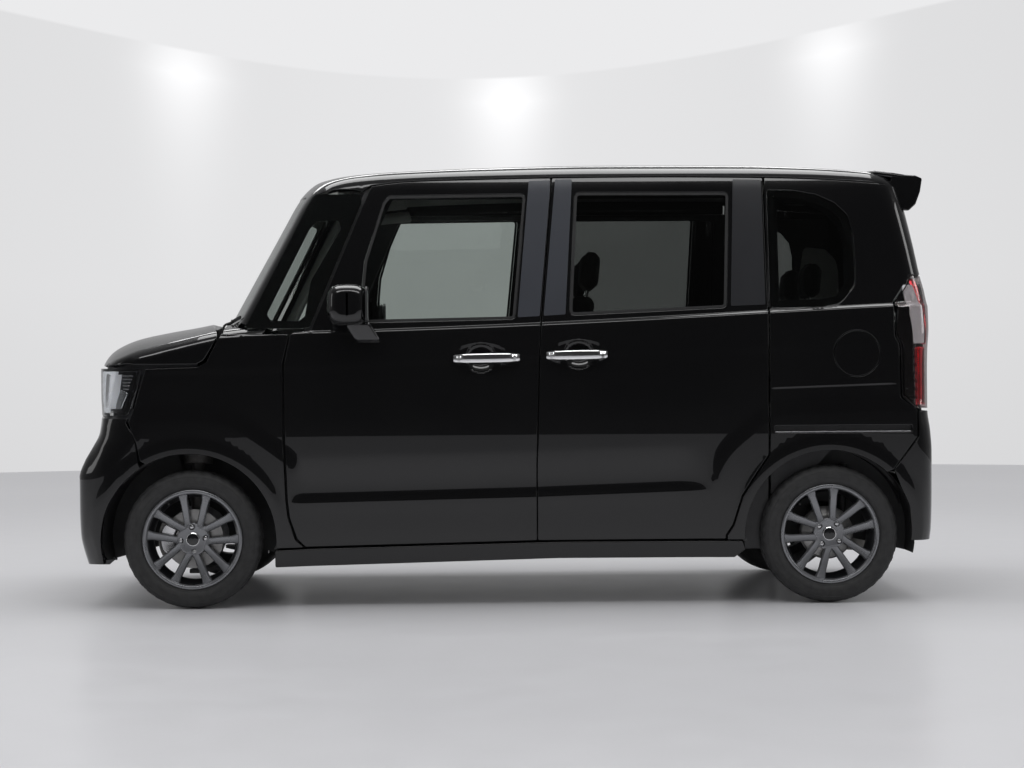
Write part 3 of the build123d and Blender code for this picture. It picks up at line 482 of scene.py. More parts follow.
def rim_rings(r=2.6, flange=16.0, hem=14.0, deep=None, step=14.0, skin=10.0):
    """Edge profile: (offset outward, depth, normal's turn from the face)."""
    rings = [(-r + r * math.sin(a), r * (1 - math.cos(a)), math.degrees(a)) for a in (0, math.pi / 8, math.pi / 4, 3 * math.pi / 8, math.pi / 2)]
    if deep is None:
        return rings + [(0, flange, 90), (0, flange, 180), (-hem, flange, 180)]
    return rings + [(0, skin, 90), (0, skin, 180), (-step, skin, 180), (-step, skin, 90), (-step, deep, 90), (-step, deep, 180)]


def panel(name, outline, mat, body="car_body", holes=(), step=12.0, rings=None, closed=False, depth=0.0, point=body_point, both=False, edge_step=9.0,
          replaces=(), fine=(), back_step=40.0, hole_rings=None, sides=(False,), names=None, follow=False):
    """A panel cut out of a surface by an outline in its own two coordinates, with rounded, returned edges."""
    loops = [list(outline)] + [list(h) for h in holes]
    loops = [dense(lp, edge_step) for lp in loops]
    for i, lp in enumerate(loops):
        if (area2(lp) > 0) != (i == 0):
            loops[i] = lp[::-1]
    rings = rings or rim_rings()
    turn = -1.0 if getattr(point, "inward", False) else 1.0
    base = []
    for i, lp in enumerate(loops):
        rr = (hole_rings or rings) if i else rings
        n2 = loop_normals(lp)
        base.append([tuple(p) for p in (np.array(lp) + n2 * rr[0][0])])
    P, F, idx = fill(base, step, fine=fine, extra=band_rows() if follow else ())
    p, n, pu, pz = surf_frame(point, P[:, 0], P[:, 1])
    n = n * turn
    V, N = [p - n * depth], [n]
    faces = [tuple(t) for t in F]
    off = len(P)
    for li, (lp, ix) in enumerate(zip(loops, idx)):
        rr = (hole_rings or rings) if li else rings
        a = np.array(base[li])
        n2 = loop_normals(lp)
        bp, bn, bu, bz = surf_frame(point, a[:, 0], a[:, 1])
        bn = bn * turn
        out = bu * n2[:, :1] + bz * n2[:, 1:]
        out -= bn * np.sum(out * bn, 1, keepdims=True)
        out /= np.maximum(np.linalg.norm(out, axis=1, keepdims=True), 1e-9)
        prev = list(ix)
        m = len(ix)
        for k, (o, d, ang) in enumerate(rr):
            if k == 0:
                continue
            ra = math.radians(ang)
            V.append(bp + out * (o - rr[0][0]) - bn * (d + depth))
            N.append(bn * math.cos(ra) + out * math.sin(ra))
            cur = list(range(off, off + m))
            off += m
            for i in range(m):
                j = (i + 1) % m
                faces.append((prev[i], cur[i], cur[j], prev[j]))
            prev = cur
        if closed:
            if li == 0:
                back = []
            back.append((prev, [tuple(q) for q in (np.array(lp) + n2 * rr[-1][0])], rr[-1][1]))
    if closed:
        BP, BF, bidx = fill([b[1] for b in back], back_step)
        q, qn, _, _ = surf_frame(lambda a, b: point(a, b), BP[:, 0], BP[:, 1])
        qn = qn * turn
        bv = q - qn * (back[0][2] + depth)
        V.append(bv)
        N.append(-qn)
        faces += [tuple(int(i) + off for i in t[::-1]) for t in BF]
        allv = np.concatenate(V)
        for (prev, _, _), bi in zip(back, bidx):
            for a, b in zip(prev, bi):
                allv[off + b] = allv[a]
        V = [allv]
    V, N = np.concatenate(V), np.concatenate(N)
    if turn < 0:
        faces = [f[::-1] for f in faces]
    obs = []
    for s in sides:
        nm = name if len(sides) == 1 else name + ("_right" if s else "_left")
        bd = body if isinstance(body, str) else body[1 if s else 0]
        rp = replaces if not isinstance(replaces, dict) else replaces[s]
        obs.append(build(nm, V, faces, mat, bd, normals=N, mirror=s, replaces=rp))
    return obs


def sweep(name, path, profile, mat, body="car_body", closed=True, up=None, replaces=(), mirror=False, caps=True, smooth=40):
    """A profile [(a, b)] carried along a 3-D path; a is along the side vector, b along up."""
    path = np.asarray(path, float)
    n = len(path)
    if closed:
        t = np.roll(path, -1, 0) - np.roll(path, 1, 0)
    else:
        t = np.gradient(path, axis=0)
    t /= np.maximum(np.linalg.norm(t, axis=1, keepdims=True), 1e-9)
    up = np.broadcast_to(np.asarray(up if up is not None else (0, 0, 1.0), float), (n, 3))
    s = np.cross(t, up)
    s /= np.maximum(np.linalg.norm(s, axis=1, keepdims=True), 1e-9)
    b = np.cross(s, t)
    m = len(profile)
    V = np.concatenate([path + s * p[0] + b * p[1] for p in profile]).reshape(m, n, 3).transpose(1, 0, 2).reshape(-1, 3)
    faces = []
    for i in range(n if closed else n - 1):
        j = (i + 1) % n
        for k in range(m):
            l = (k + 1) % m
            faces.append((i * m + k, i * m + l, j * m + l, j * m + k))
    if not closed and caps:
        faces.append(tuple(range(m))[::-1])
        faces.append(tuple((n - 1) * m + k for k in range(m)))
    a = V.reshape(n, m, 3)
    c = a.mean(1)
    f0 = faces[0]
    nn = np.cross(V[f0[1]] - V[f0[0]], V[f0[2]] - V[f0[0]])
    if nn @ (V[f0[0]] + V[f0[1]] - 2 * c[0]) < 0:
        faces = [f[::-1] for f in faces]
    return build(name, V, faces, mat, body, replaces=replaces, mirror=mirror, autosmooth=smooth)


def circle(r, n=10, ry=None):
    return [(r * math.cos(2 * math.pi * k / n), (ry or r) * math.sin(2 * math.pi * k / n)) for k in range(n)]


def lathe(name, prof, mat, centre, axis="y", n=96, body="car_body", mirror=False, replaces=(), smooth=35, closed=True):
    """A profile [(radius, along)] turned about an axis through centre."""
    prof = np.asarray(prof, float)
    m = len(prof)
    a = np.linspace(0, 2 * math.pi, n, endpoint=False)
    V = np.zeros((n, m, 3))
    ca, sa = np.cos(a)[:, None], np.sin(a)[:, None]
    if axis == "y":
        V[..., 0], V[..., 2], V[..., 1] = prof[:, 0] * ca, prof[:, 0] * sa, prof[:, 1]
    elif axis == "x":
        V[..., 1], V[..., 2], V[..., 0] = prof[:, 0] * ca, prof[:, 0] * sa, prof[:, 1]
    else:
        V[..., 0], V[..., 1], V[..., 2] = prof[:, 0] * ca, prof[:, 0] * sa, prof[:, 1]
    V = V.reshape(-1, 3) + np.asarray(centre, float)
    faces = []
    for i in range(n):
        j = (i + 1) % n
        for k in range(m if closed else m - 1):
            l = (k + 1) % m
            faces.append((i * m + k, j * m + k, j * m + l, i * m + l))
    ob = build(name, V, faces, mat, body, mirror=mirror, replaces=replaces, autosmooth=smooth)
    bm = bmesh.new()
    bm.from_mesh(ob.data)
    bmesh.ops.remove_doubles(bm, verts=bm.verts, dist=1e-6)
    bmesh.ops.recalc_face_normals(bm, faces=bm.faces)
    bm.to_mesh(ob.data)
    bm.free()
    ob.data.set_sharp_from_angle(angle=math.radians(smooth))
    return ob


def rbox(name, lo, hi, mat, r=10.0, body="car_body", seg=3, replaces=(), mirror=False, shape=None, cuts=None, keep=False):
    """A box with rounded edges; shape(verts in mm) may bend it."""
    bm = bmesh.new()
    bmesh.ops.create_cube(bm, size=1.0)
    lo, hi = np.array(lo, float), np.array(hi, float)
    for v in bm.verts:
        v.co = Vector(((lo + hi) / 2 + np.array(v.co) * (hi - lo)).tolist())
    r = min(r, 0.49 * float((hi - lo).min()))
    bmesh.ops.bevel(bm, geom=list(bm.edges), offset=r, segments=seg, profile=0.5, affect="EDGES")
    if cuts:
        for ax, k in zip(range(3), cuts):
            for i in range(1, k + 1):
                c = lo[ax] + r + (hi[ax] - lo[ax] - 2 * r) * i / (k + 1)
                no = [0, 0, 0]
                no[ax] = 1
                co = [0, 0, 0]
                co[ax] = c
                bmesh.ops.bisect_plane(bm, geom=list(bm.verts) + list(bm.edges) + list(bm.faces), plane_co=co, plane_no=no)
    bm.verts.ensure_lookup_table()
    V = np.array([v.co for v in bm.verts], float)
    if shape is not None:
        V = shape(V)
    faces = [[v.index for v in f.verts] for f in bm.faces]
    bm.verts.index_update()
    faces = [[v.index for v in f.verts] for f in bm.faces]
    bm.free()
    return build(name, V, faces, mat, body, replaces=replaces, mirror=mirror, autosmooth=45)


# ============================================================ materials


def nodes_of(name):
    m = bpy.data.materials.new(name)
    m.use_nodes = True
    nt = m.node_tree
    b = nt.nodes["Principled BSDF"]
    return m, nt, b


def setp(b, **kw):
    names = {"base": "Base Color", "rough": "Roughness", "metal": "Metallic", "coat": "Coat Weight", "coat_rough": "Coat Roughness", "ior": "IOR",
             "trans": "Transmission Weight", "alpha": "Alpha", "spec": "Specular IOR Level", "sheen": "Sheen Weight", "sheen_rough": "Sheen Roughness",
             "emit": "Emission Color", "emit_s": "Emission Strength", "sub": "Subsurface Weight"}
    for k, v in kw.items():
        s = b.inputs[names[k]]
        s.default_value = (*v, 1.0) if isinstance(v, tuple) and len(v) == 3 else v


def coords(nt):
    return nt.nodes.new("ShaderNodeTexCoord").outputs["Object"]


def noise(nt, scale, detail=3.0, rough=0.5, src=None):
    n = nt.nodes.new("ShaderNodeTexNoise")
    n.inputs["Scale"].default_value = scale
    n.inputs["Detail"].default_value = detail
    n.inputs["Roughness"].default_value = rough
    nt.links.new(src or coords(nt), n.inputs["Vector"])
    return n.outputs["Fac"]


def ramp(nt, fac, stops):
    r = nt.nodes.new("ShaderNodeValToRGB")
    e = r.color_ramp.elements
    while len(e) > 1:
        e.remove(e[0])
    e[0].position, e[0].color = stops[0][0], (*stops[0][1], 1) if len(stops[0][1]) == 3 else stops[0][1]
    for p, c in stops[1:]:
        k = e.new(p)
        k.color = (*c, 1) if len(c) == 3 else c
    nt.links.new(fac, r.inputs["Fac"])
    return r.outputs["Color"]


def maprange(nt, fac, a, b, lo=0.0, hi=1.0):
    m = nt.nodes.new("ShaderNodeMapRange")
    m.inputs["From Min"].default_value, m.inputs["From Max"].default_value = lo, hi
    m.inputs["To Min"].default_value, m.inputs["To Max"].default_value = a, b
    nt.links.new(fac, m.inputs["Value"])
    return m.outputs["Result"]


def bump(nt, b, height, strength, dist=0.001):
    n = nt.nodes.new("ShaderNodeBump")
    n.inputs["Strength"].default_value = strength
    n.inputs["Distance"].default_value = dist
    nt.links.new(height, n.inputs["Height"])
    nt.links.new(n.outputs["Normal"], b.inputs["Normal"])
    return n


def simple(name, base, rough, metal=0.0, var=0.25, scale=60.0, bump_scale=900.0, bump_s=0.15, dist=0.0002, rough_var=0.06, **kw):
    """Principled material with noise in its colour, roughness and surface."""
    m, nt, b = nodes_of(name)
    setp(b, base=base, rough=rough, metal=metal, **kw)
    f = noise(nt, scale, 4.0)
    lo = tuple(max(0.0, c * (1 - var)) for c in base)
    hi = tuple(min(1.0, c * (1 + var)) for c in base)
    nt.links.new(ramp(nt, f, [(0.3, lo), (0.7, hi)]), b.inputs["Base Color"])
    g = noise(nt, scale * 0.35, 3.0)
    nt.links.new(maprange(nt, g, max(0.01, rough - rough_var), rough + rough_var, 0.3, 0.7), b.inputs["Roughness"])
    if bump_s:
        bump(nt, b, noise(nt, bump_scale, 2.0), bump_s, dist)
    return m


M = {}
m, nt, b = nodes_of("body_paint")
setp(b, base=(0.0045, 0.0045, 0.005), rough=0.22, coat=1.0, coat_rough=0.012, ior=1.5, spec=0.12)
nt.links.new(ramp(nt, noise(nt, 2600.0, 2.0), [(0.35, (0.0018, 0.0018, 0.002)), (0.62, (0.0032, 0.0032, 0.0036)), (0.8, (0.006, 0.006, 0.0068))]), b.inputs["Base Color"])
nt.links.new(maprange(nt, noise(nt, 1.7, 2.0), 0.17, 0.27, 0.3, 0.7), b.inputs["Roughness"])
M["paint"] = m
m, nt, b = nodes_of("paint_inner")
setp(b, base=(0.01, 0.01, 0.011), rough=0.38)
nt.links.new(ramp(nt, noise(nt, 30.0, 4.0), [(0.3, (0.008, 0.008, 0.009)), (0.7, (0.014, 0.014, 0.015))]), b.inputs["Base Color"])
bump(nt, b, noise(nt, 700.0, 2.0), 0.12, 0.0002)
M["paint_in"] = m
M["satin"] = simple("pillar_satin", (0.030, 0.033, 0.041), 0.36, var=0.06, scale=3.0, bump_scale=1800.0, bump_s=0.05, dist=0.0001, rough_var=0.03)
M["satin_dark"] = simple("frame_satin", (0.014, 0.0145, 0.017), 0.33, var=0.08, scale=5.0, bump_scale=1800.0, bump_s=0.05, dist=0.0001, rough_var=0.03)
M["trim"] = simple("black_trim", (0.012, 0.012, 0.013), 0.5, var=0.2, scale=35.0, bump_scale=2400.0, bump_s=0.35, dist=0.0003)
M["gloss_trim"] = simple("gloss_trim", (0.006, 0.006, 0.007), 0.12, var=0.15, scale=9.0, bump_s=0.0, rough_var=0.03, coat=0.6)
M["rubber"] = simple("seal_rubber", (0.009, 0.009, 0.0095), 0.62, var=0.25, scale=80.0, bump_scale=1500.0, bump_s=0.2, dist=0.0003)
M["chrome"] = simple("chrome_trim", (0.86, 0.86, 0.87), 0.09, metal=1.0, var=0.03, scale=14.0, bump_s=0.0, rough_var=0.035)
M["satin_chrome"] = simple("satin_chrome", (0.62, 0.62, 0.63), 0.26, metal=1.0, var=0.04, scale=20.0, bump_s=0.0, rough_var=0.05)
M["plastic"] = simple("cabin_plastic", (0.028, 0.028, 0.030), 0.55, var=0.15, scale=30.0, bump_scale=1300.0, bump_s=0.5, dist=0.0004)
M["plastic_light"] = simple("headliner_cloth", (0.20, 0.195, 0.185), 0.85, var=0.1, scale=300.0, bump_scale=2200.0, bump_s=0.6, dist=0.0005)
M["under"] = simple("underbody", (0.02, 0.02, 0.021), 0.6, var=0.35, scale=12.0, bump_scale=260.0, bump_s=0.35, dist=0.0008)
M["cast"] = simple("engine_metal", (0.34, 0.34, 0.35), 0.45, metal=1.0, var=0.2, scale=25.0, bump_scale=420.0, bump_s=0.4, dist=0.0006)
M["steel"] = simple("chassis_steel", (0.022, 0.022, 0.023), 0.42, metal=0.3, var=0.35, scale=20.0, bump_scale=500.0, bump_s=0.3, dist=0.0005)
M["disc"] = simple("disc_steel", (0.34, 0.335, 0.33), 0.34, metal=0.85, var=0.12, scale=40.0, bump_scale=1100.0, bump_s=0.2, dist=0.0002)
M["drum"] = simple("drum_iron", (0.16, 0.155, 0.15), 0.5, metal=0.9, var=0.3, scale=30.0, bump_scale=600.0, bump_s=0.4, dist=0.0005)
M["exhaust"] = simple("exhaust_steel", (0.36, 0.35, 0.33), 0.4, metal=1.0, var=0.25, scale=9.0, bump_scale=200.0, bump_s=0.15, dist=0.0004)
M["carpet"] = simple("floor_carpet", (0.022, 0.022, 0.024), 0.95, var=0.4, scale=420.0, bump_scale=1900.0, bump_s=1.0, dist=0.0015)
M["alloy"] = simple("wheel_alloy", (0.21, 0.214, 0.226), 0.28, metal=0.72, var=0.05, scale=25.0, bump_scale=2600.0, bump_s=0.04, dist=0.0001, rough_var=0.04, coat=0.55, coat_rough=0.1)
M["alloy_dark"] = simple("wheel_barrel", (0.035, 0.036, 0.04), 0.42, metal=0.8, var=0.12, scale=25.0, bump_scale=1600.0, bump_s=0.08, dist=0.0002)
M["plate"] = simple("blank_plate", (0.62, 0.62, 0.60), 0.42, var=0.04, scale=12.0, bump_scale=800.0, bump_s=0.08, dist=0.0002)
M["silver"] = simple("reflector_silver", (0.88, 0.89, 0.9), 0.14, metal=1.0, var=0.04, scale=30.0, bump_s=0.0)
# pale trim: partly the trim's own colour, partly painted light, so that pillars seen through the glass look lit and as
# bright as the studio behind them
M["pale_trim_painted_light"] = simple("pale_trim_painted_light", (0.60, 0.60, 0.575), 0.6, var=0.05, scale=40.0, bump_scale=1500.0, bump_s=0.2, dist=0.0003)
M["lamp_bright"] = simple("lamp_bright", (0.94, 0.95, 0.97), 0.30, var=0.02, scale=30.0, bump_s=0.0, coat=0.8, coat_rough=0.05)
for n_ in M["lamp_bright"].node_tree.nodes:
    if n_.type == "BSDF_PRINCIPLED":
        n_.inputs["Emission Color"].default_value = (0.93, 0.95, 1.0, 1.0)
        n_.inputs["Emission Strength"].default_value = 0.22
M["white"] = simple("lamp_white", (0.80, 0.82, 0.84), 0.3, var=0.03, scale=30.0, bump_s=0.0)

# tyre: rubber with fine rings on the sidewall
m, nt, b = nodes_of("tyre_rubber")
setp(b, base=(0.016, 0.016, 0.0165), rough=0.68)
nt.links.new(ramp(nt, noise(nt, 45.0, 5.0), [(0.3, (0.012, 0.012, 0.0125)), (0.7, (0.022, 0.022, 0.0225))]), b.inputs["Base Color"])
bump(nt, b, noise(nt, 1400.0, 3.0), 0.35, 0.0004)
M["tyre"] = m


def glass(name, tint, rough=0.0):
    m, nt, b = nodes_of(name)
    setp(b, base=tint, rough=rough, trans=1.0, ior=1.45)
    lo = tuple(c * 0.97 for c in tint)
    nt.links.new(ramp(nt, noise(nt, 4.0, 2.0), [(0.3, lo), (0.7, tint)]), b.inputs["Base Color"])
    return m


M["glass"] = glass("clear_glass", (0.80, 0.85, 0.82))
M["privacy"] = glass("privacy_glass", (0.36, 0.375, 0.365))
M["lens"] = glass("lamp_lens", (0.97, 0.98, 0.99))
M["tail_red"] = glass("tail_lens_red", (0.95, 0.10, 0.12), 0.02)
M["tail_clear"] = glass("tail_lens_clear", (0.95, 0.90, 0.90), 0.01)
M["tail_smoke"] = glass("tail_lens_smoke", (0.42, 0.42, 0.43), 0.01)
M["amber"] = glass("indicator_amber", (1.0, 0.45, 0.08), 0.05)
m, nt, b = nodes_of("mirror_glass")
setp(b, base=(0.82, 0.84, 0.86), rough=0.02, metal=1.0)
nt.links.new(maprange(nt, noise(nt, 20.0, 2.0), 0.01, 0.03, 0.3, 0.7), b.inputs["Roughness"])
M["mirror"] = m


def cloth(name, dark, light, scale):
    m, nt, b = nodes_of(name)
    setp(b, base=dark, rough=0.88, sheen=0.25, sheen_rough=0.4)
    w = nt.nodes.new("ShaderNodeTexWave")
    w.inputs["Scale"].default_value = scale
    w.inputs["Distortion"].default_value = 0.6
    w2 = nt.nodes.new("ShaderNodeTexWave")
    w2.bands_direction = "Z"
    w2.inputs["Scale"].default_value = scale * 1.1
    w2.inputs["Distortion"].default_value = 0.6
    c = coords(nt)
    nt.links.new(c, w.inputs["Vector"])
    nt.links.new(c, w2.inputs["Vector"])
    mul = nt.nodes.new("ShaderNodeMath")
    mul.operation = "MULTIPLY"
    nt.links.new(w.outputs["Fac"], mul.inputs[0])
    nt.links.new(w2.outputs["Fac"], mul.inputs[1])
    add = nt.nodes.new("ShaderNodeMath")
    add.operation = "ADD"
    nt.links.new(mul.outputs[0], add.inputs[0])
    nt.links.new(maprange(nt, noise(nt, 900.0, 3.0, src=c), -0.2, 0.2), add.inputs[1])
    nt.links.new(ramp(nt, add.outputs[0], [(0.0, dark), (0.8, light)]), b.inputs["Base Color"])
    bump(nt, b, add.outputs[0], 0.5, 0.0006)
    return m


M["seat"] = cloth("seat_cloth", (0.028, 0.027, 0.027), (0.075, 0.072, 0.070), 340.0)
M["seat_side"] = cloth("seat_side_cloth", (0.018, 0.018, 0.019), (0.045, 0.045, 0.047), 520.0)

# ============================================================ roof, pillars and bonnet: one smooth form each

XF = pchip([1040, 1095, 1160, 1300, 1550, 1660, 1710, 1810], [-1180, -1168, -1134, -1057, -919, -859, -831, -776])
SF = pchip([1040, 1095, 1160, 1300, 1550, 1660, 1710, 1810], [105, 105, 104, 100, 92, 85, 80, 70])
ROOF_E = pchip([-1000, -900, -760, -690, -590, -400, -100, 400, 950, 1230, 1480, 1700], [1490, 1560, 1656, 1690, 1711, 1727, 1738, 1746, 1744, 1737, 1719, 1696])
ROOF_C = pchip([-1000, -760, -400, -100, 400, 950, 1230, 1480, 1700], [34, 37, 40, 43, 44, 41, 33, 24, 19])
DRIP = pchip([-600, -541, -470, -400, -100, 194, 572, 1019, 1230, 1400, 1480, 1560, 1640], [1652, 1669, 1680, 1687, 1696, 1701, 1703, 1698, 1691, 1680, 1673, 1664, 1650])


def roof_height(x, y):
    q = np.clip(1 - (y / 600.0) ** 2, -1, 1)
    xs = x + 84 * q * (1 - sstep(-620, -250, x))
    return ROOF_E(xs) + ROOF_C(x) * q


def smax(a, b, k):
    h = np.clip(k - np.abs(a - b), 0, None) / k
    return np.maximum(a, b) + h * h * k * 0.25


def cabin_out(P):
    x, y, z = P[..., 0], P[..., 1], P[..., 2]
    h = roof_height(x, y)
    hx = (roof_height(x + 4, y) - h) / 4
    a = (z - h) / np.sqrt(1 + hx * hx)
    w = W_UP(np.clip(z, 1000, 1790))
    b = np.abs(y) - w
    c = (XF(z) + SF(z) * np.clip(y / (w - 45), -1.2, 1.2) ** 2 - x) * 0.875
    d = x - (R_XR(z) - R_SG * np.clip(y / (w - 90), -1.3, 1.3) ** 2)
    bc = smax(b, c, 62)
    bd = smax(bc, d, 128)
    return smax(a, bd, 48)


BON_P = pchip([-1700, -1668, -1640, -1605, -1529, -1407, -1262, -1121, -1000, -900], [930, 986, 1016, 1042, 1075, 1102, 1126, 1152, 1166, 1176])


def bonnet_out(P):
    x, y, z = P[..., 0], P[..., 1], P[..., 2]
    w = W_LOW(np.clip(z, 100, 1300))
    s = np.abs(y) / 735.0
    h = BON_P(x - 84 * s * s * (1 - sstep(-1420, -1180, x))) - 68 * s ** 2.6
    a = (z - h) / np.sqrt(1 + ((BON_P(x + 5) - BON_P(x - 5)) / 10) ** 2)
    b = np.abs(y) - w
    zc = np.clip(z, 165, 1050)
    sg, ry, rx = N_SG(zc), N_RY(zc), N_RX(zc)
    yy = np.clip(np.abs(y), 0, w - ry)
    c = N_XF(zc) + sg * (yy / (w - ry)) ** 2 - x
    e = np.clip((np.abs(y) - (w - ry)) / ry, 0, 0.999)
    c = np.where(np.abs(y) > w - ry, N_XF(zc) + sg + rx * (1 - np.sqrt(1 - e * e)) - x, c)
    return smax(smax(b, c, 8), a, 46)


def solve(f, O, D, t1=900.0, n=34):
    lo, hi = np.zeros(O.shape[:-1]), np.full(O.shape[:-1], float(t1))
    for _ in range(n):
        m = 0.5 * (lo + hi)
        out = f(O + D * m[..., None]) > 0
        hi, lo = np.where(out, m, hi), np.where(out, lo, m)
    return O + D * (0.5 * (lo + hi))[..., None]


def dome(f, x0, x1, ym, z0, R, t1=900.0):
    """A form seen by rays from a flat slab inside it: returns its mapping and the inverse."""

    def forward(a, b):
        a, b = np.broadcast_arrays(np.asarray(a, float), np.asarray(b, float))
        ox, oy = np.clip(a, x0, x1), np.clip(b, -ym, ym)
        dx, dy = a - ox, b - oy
        rho = np.hypot(dx, dy)
        t = rho / R
        s = np.sin(t) / np.maximum(rho, 1e-9)
        O = np.stack([ox, oy, np.full(a.shape, float(z0))], -1)
        D = np.stack([dx * s, dy * s, np.cos(t)], -1)
        return solve(f, O, D, t1)

    def inverse(pts):
        out = []
        for x, y, z in pts:
            ox, oy = min(max(x, x0), x1), min(max(y, -ym), ym)
            dx, dy, dz = x - ox, y - oy, z - z0
            h = math.hypot(dx, dy)
            t = math.atan2(h, dz)
            k = R * t / h if h > 1e-9 else 0
            out.append((ox + dx * k, oy + dy * k))
        return out

    return forward, inverse


roof_point, roof_inv = dome(cabin_out, -560.0, 1380.0, 400.0, 1480.0, 265.0)
bonnet_point, bonnet_inv = dome(bonnet_out, -1440.0, -1150.0, 560.0, 930.0, 160.0)


def screen_point(y, z):
    y, z = np.broadcast_arrays(np.asarray(y, float), np.asarray(z, float))
    O = np.stack([np.full(y.shape, -500.0), y, z], -1)
    D = np.broadcast_to(np.array([-1.0, 0, 0]), O.shape)
    return solve(cabin_out, O, D, 800.0)


screen_point.inward = True


def cab_side(x, z):
    """A point on the cabin's side at plan place x, as three coordinates."""
    return (x, -float(W_UP(z)), z)


def full_front(t, z):
    """The nose from side to side: t is 0 on the centre line and negative on the left."""
    t, z = np.broadcast_arrays(np.asarray(t, float), np.asarray(z, float))
    xf, sg, rx, ry, xr, rr = plan(z)
    w = width(np.full(z.shape, -1700.0), z)
    C = math.pi / 2 * np.sqrt((rx * rx + ry * ry) / 2)
    u = xf + sg + rx - C - (w - ry) + np.abs(t)
    p = body_point(u, z)
    p[..., 1] = np.where(t > 0, -p[..., 1], p[..., 1])
    return p


full_front.inward = True


def full_rear(t, z):
    t, z = np.broadcast_arrays(np.asarray(t, float), np.asarray(z, float))
    xf, sg, rx, ry, xr, rr = plan(z)
    w = width(np.full(z.shape, 1700.0), z)
    u = xr - R_SG - rr + math.pi / 2 * rr + (w - rr) - np.abs(t)
    p = body_point(u, z)
    p[..., 1] = np.where(t > 0, -p[..., 1], p[..., 1])
    return p


def front_centre(z):
    xf, sg, rx, ry, xr, rr = [float(v) for v in plan(z)]
    C = math.pi / 2 * math.sqrt((rx * rx + ry * ry) / 2)
    return xf + sg + rx - C - (float(width(-1700.0, z)) - ry)


def rear_centre(z):
    xf, sg, rx, ry, xr, rr = [float(v) for v in plan(z)]
    return xr - R_SG - rr + math.pi / 2 * rr + (float(width(1700.0, z)) - rr)


def tf(x=None, y=None, z=0.0, right=False):
    u = u_of_x(x, z) if y is None else u_of_y(abs(y), z)
    t = u - front_centre(z)
    return (t if right else -t, z)


def tr(x=None, y=None, z=0.0, right=False):
    u = u_of_x(x, z, True) if y is None else u_of_y(abs(y), z, True)
    t = rear_centre(z) - u
    return (t if right else -t, z)


def arc(c, a0, a1, extra=0.0, n=40):
    return [(c[0] + (c[2] + extra) * math.cos(math.radians(a0 + (a1 - a0) * i / n)), c[1] + (c[2] + extra) * math.sin(math.radians(a0 + (a1 - a0) * i / n))) for i in range(n + 1)]


def inset(loop, d):
    lp = dense(loop, 6.0)
    if area2(lp) < 0:
        lp = lp[::-1]
    a = np.array(lp) - loop_normals(lp) * d
    return [tuple(p) for p in a]


GAP = 2.3
GATE_Y = lin([240, 492, 770, 800, 1240, 1400, 1560, 1660, 1760], [556, 556, 566, 584, 600, 588, 566, 556, 548])
FRONT_EDGE = [(-800, 238), (-829, 272), (-857, 357), (-865, 430), (-875, 700), (-875, 962), (-848, 1084), (-768, 1096), (-541, 1651)]
B_LINE = [(188, 1700), (186, 1658), (135, 1056), (119, 560), (119, 256)]
C_LINE = [(1037, 1697), (1037, 1519), (1042, 1162), (1036, 590), (982, 512), (929, 429), (893, 314), (866, 272), (866, 256)]
drip_run = lambda a, b, n=12, off=0.0: [(a + (b - a) * i / n, float(DRIP(a + (b - a) * i / n)) + off) for i in range(n + 1)]

FRONT_DOOR = [(-796, 238), (-829, 272), (-857, 357), (-865, 430), (-875, 700), (-875, 962), (-850, 1080), (-838, 1088), (-768, 1096), (-541, 1651)] + drip_run(-531, 188) + B_LINE[1:]
SLIDE_DOOR = B_LINE[::-1][:-1] + drip_run(188, 1037) + C_LINE[1:]
F_WIN = rounded([(-565, 1123), (37, 1133), (86, 1636), (-462, 1630), (-486, 1600), (-558, 1368), (-568, 1260)], [14, 22, 26, 24, 30, 60, 80], 6)
S_WIN = rounded([(252, 1146), (876, 1173), (897, 1638), (280, 1640)], 24, 6)

SIDES = (False, True)
DOOR_BODY = ("front_door_left", "front_door_right")
DOOR_RINGS = rim_rings(2.6, deep=56.0, step=15.0, skin=11.0)
HOLE_RINGS = rim_rings(3.0, deep=56.0, step=12.0, skin=9.0)

# ---------------------------------------------------------------- doors
panel("front_door_skin", inset(rounded(FRONT_DOOR, 9), GAP), M["paint"], DOOR_BODY, holes=[F_WIN], rings=DOOR_RINGS, hole_rings=HOLE_RINGS, closed=True, sides=SIDES,
      replaces={False: ("front_door_left",), True: ("front_door_right",)}, fine=[(-99, 980, 90, 6.0)], step=21, edge_step=20, back_step=80, follow=True)
panel("sliding_door_skin", inset(rounded(SLIDE_DOOR, 9), GAP), M["paint"], holes=[S_WIN], rings=DOOR_RINGS, hole_rings=HOLE_RINGS, closed=True, sides=SIDES,
      replaces={False: ("sliding_door_left",), True: ("sliding_door_right",)}, fine=[(287, 991, 90, 6.0)], step=21, edge_step=20, back_step=80, follow=True)
THIN = [(0, 0, 0), (0, 4.2, 90), (0, 4.2, 180)]
panel("front_door_pane", inset(F_WIN, -9), M["glass"], DOOR_BODY, rings=THIN, closed=True, depth=7.0, sides=SIDES, step=26, back_step=26,
      replaces={False: ("front_door_glass_left",), True: ("front_door_glass_right",)})
panel("sliding_door_pane", inset(S_WIN, -9), M["privacy"], rings=THIN, closed=True, depth=7.0, sides=SIDES, step=26, back_step=26,
      replaces={False: ("sliding_door_glass",), True: ("sliding_door_glass",)})
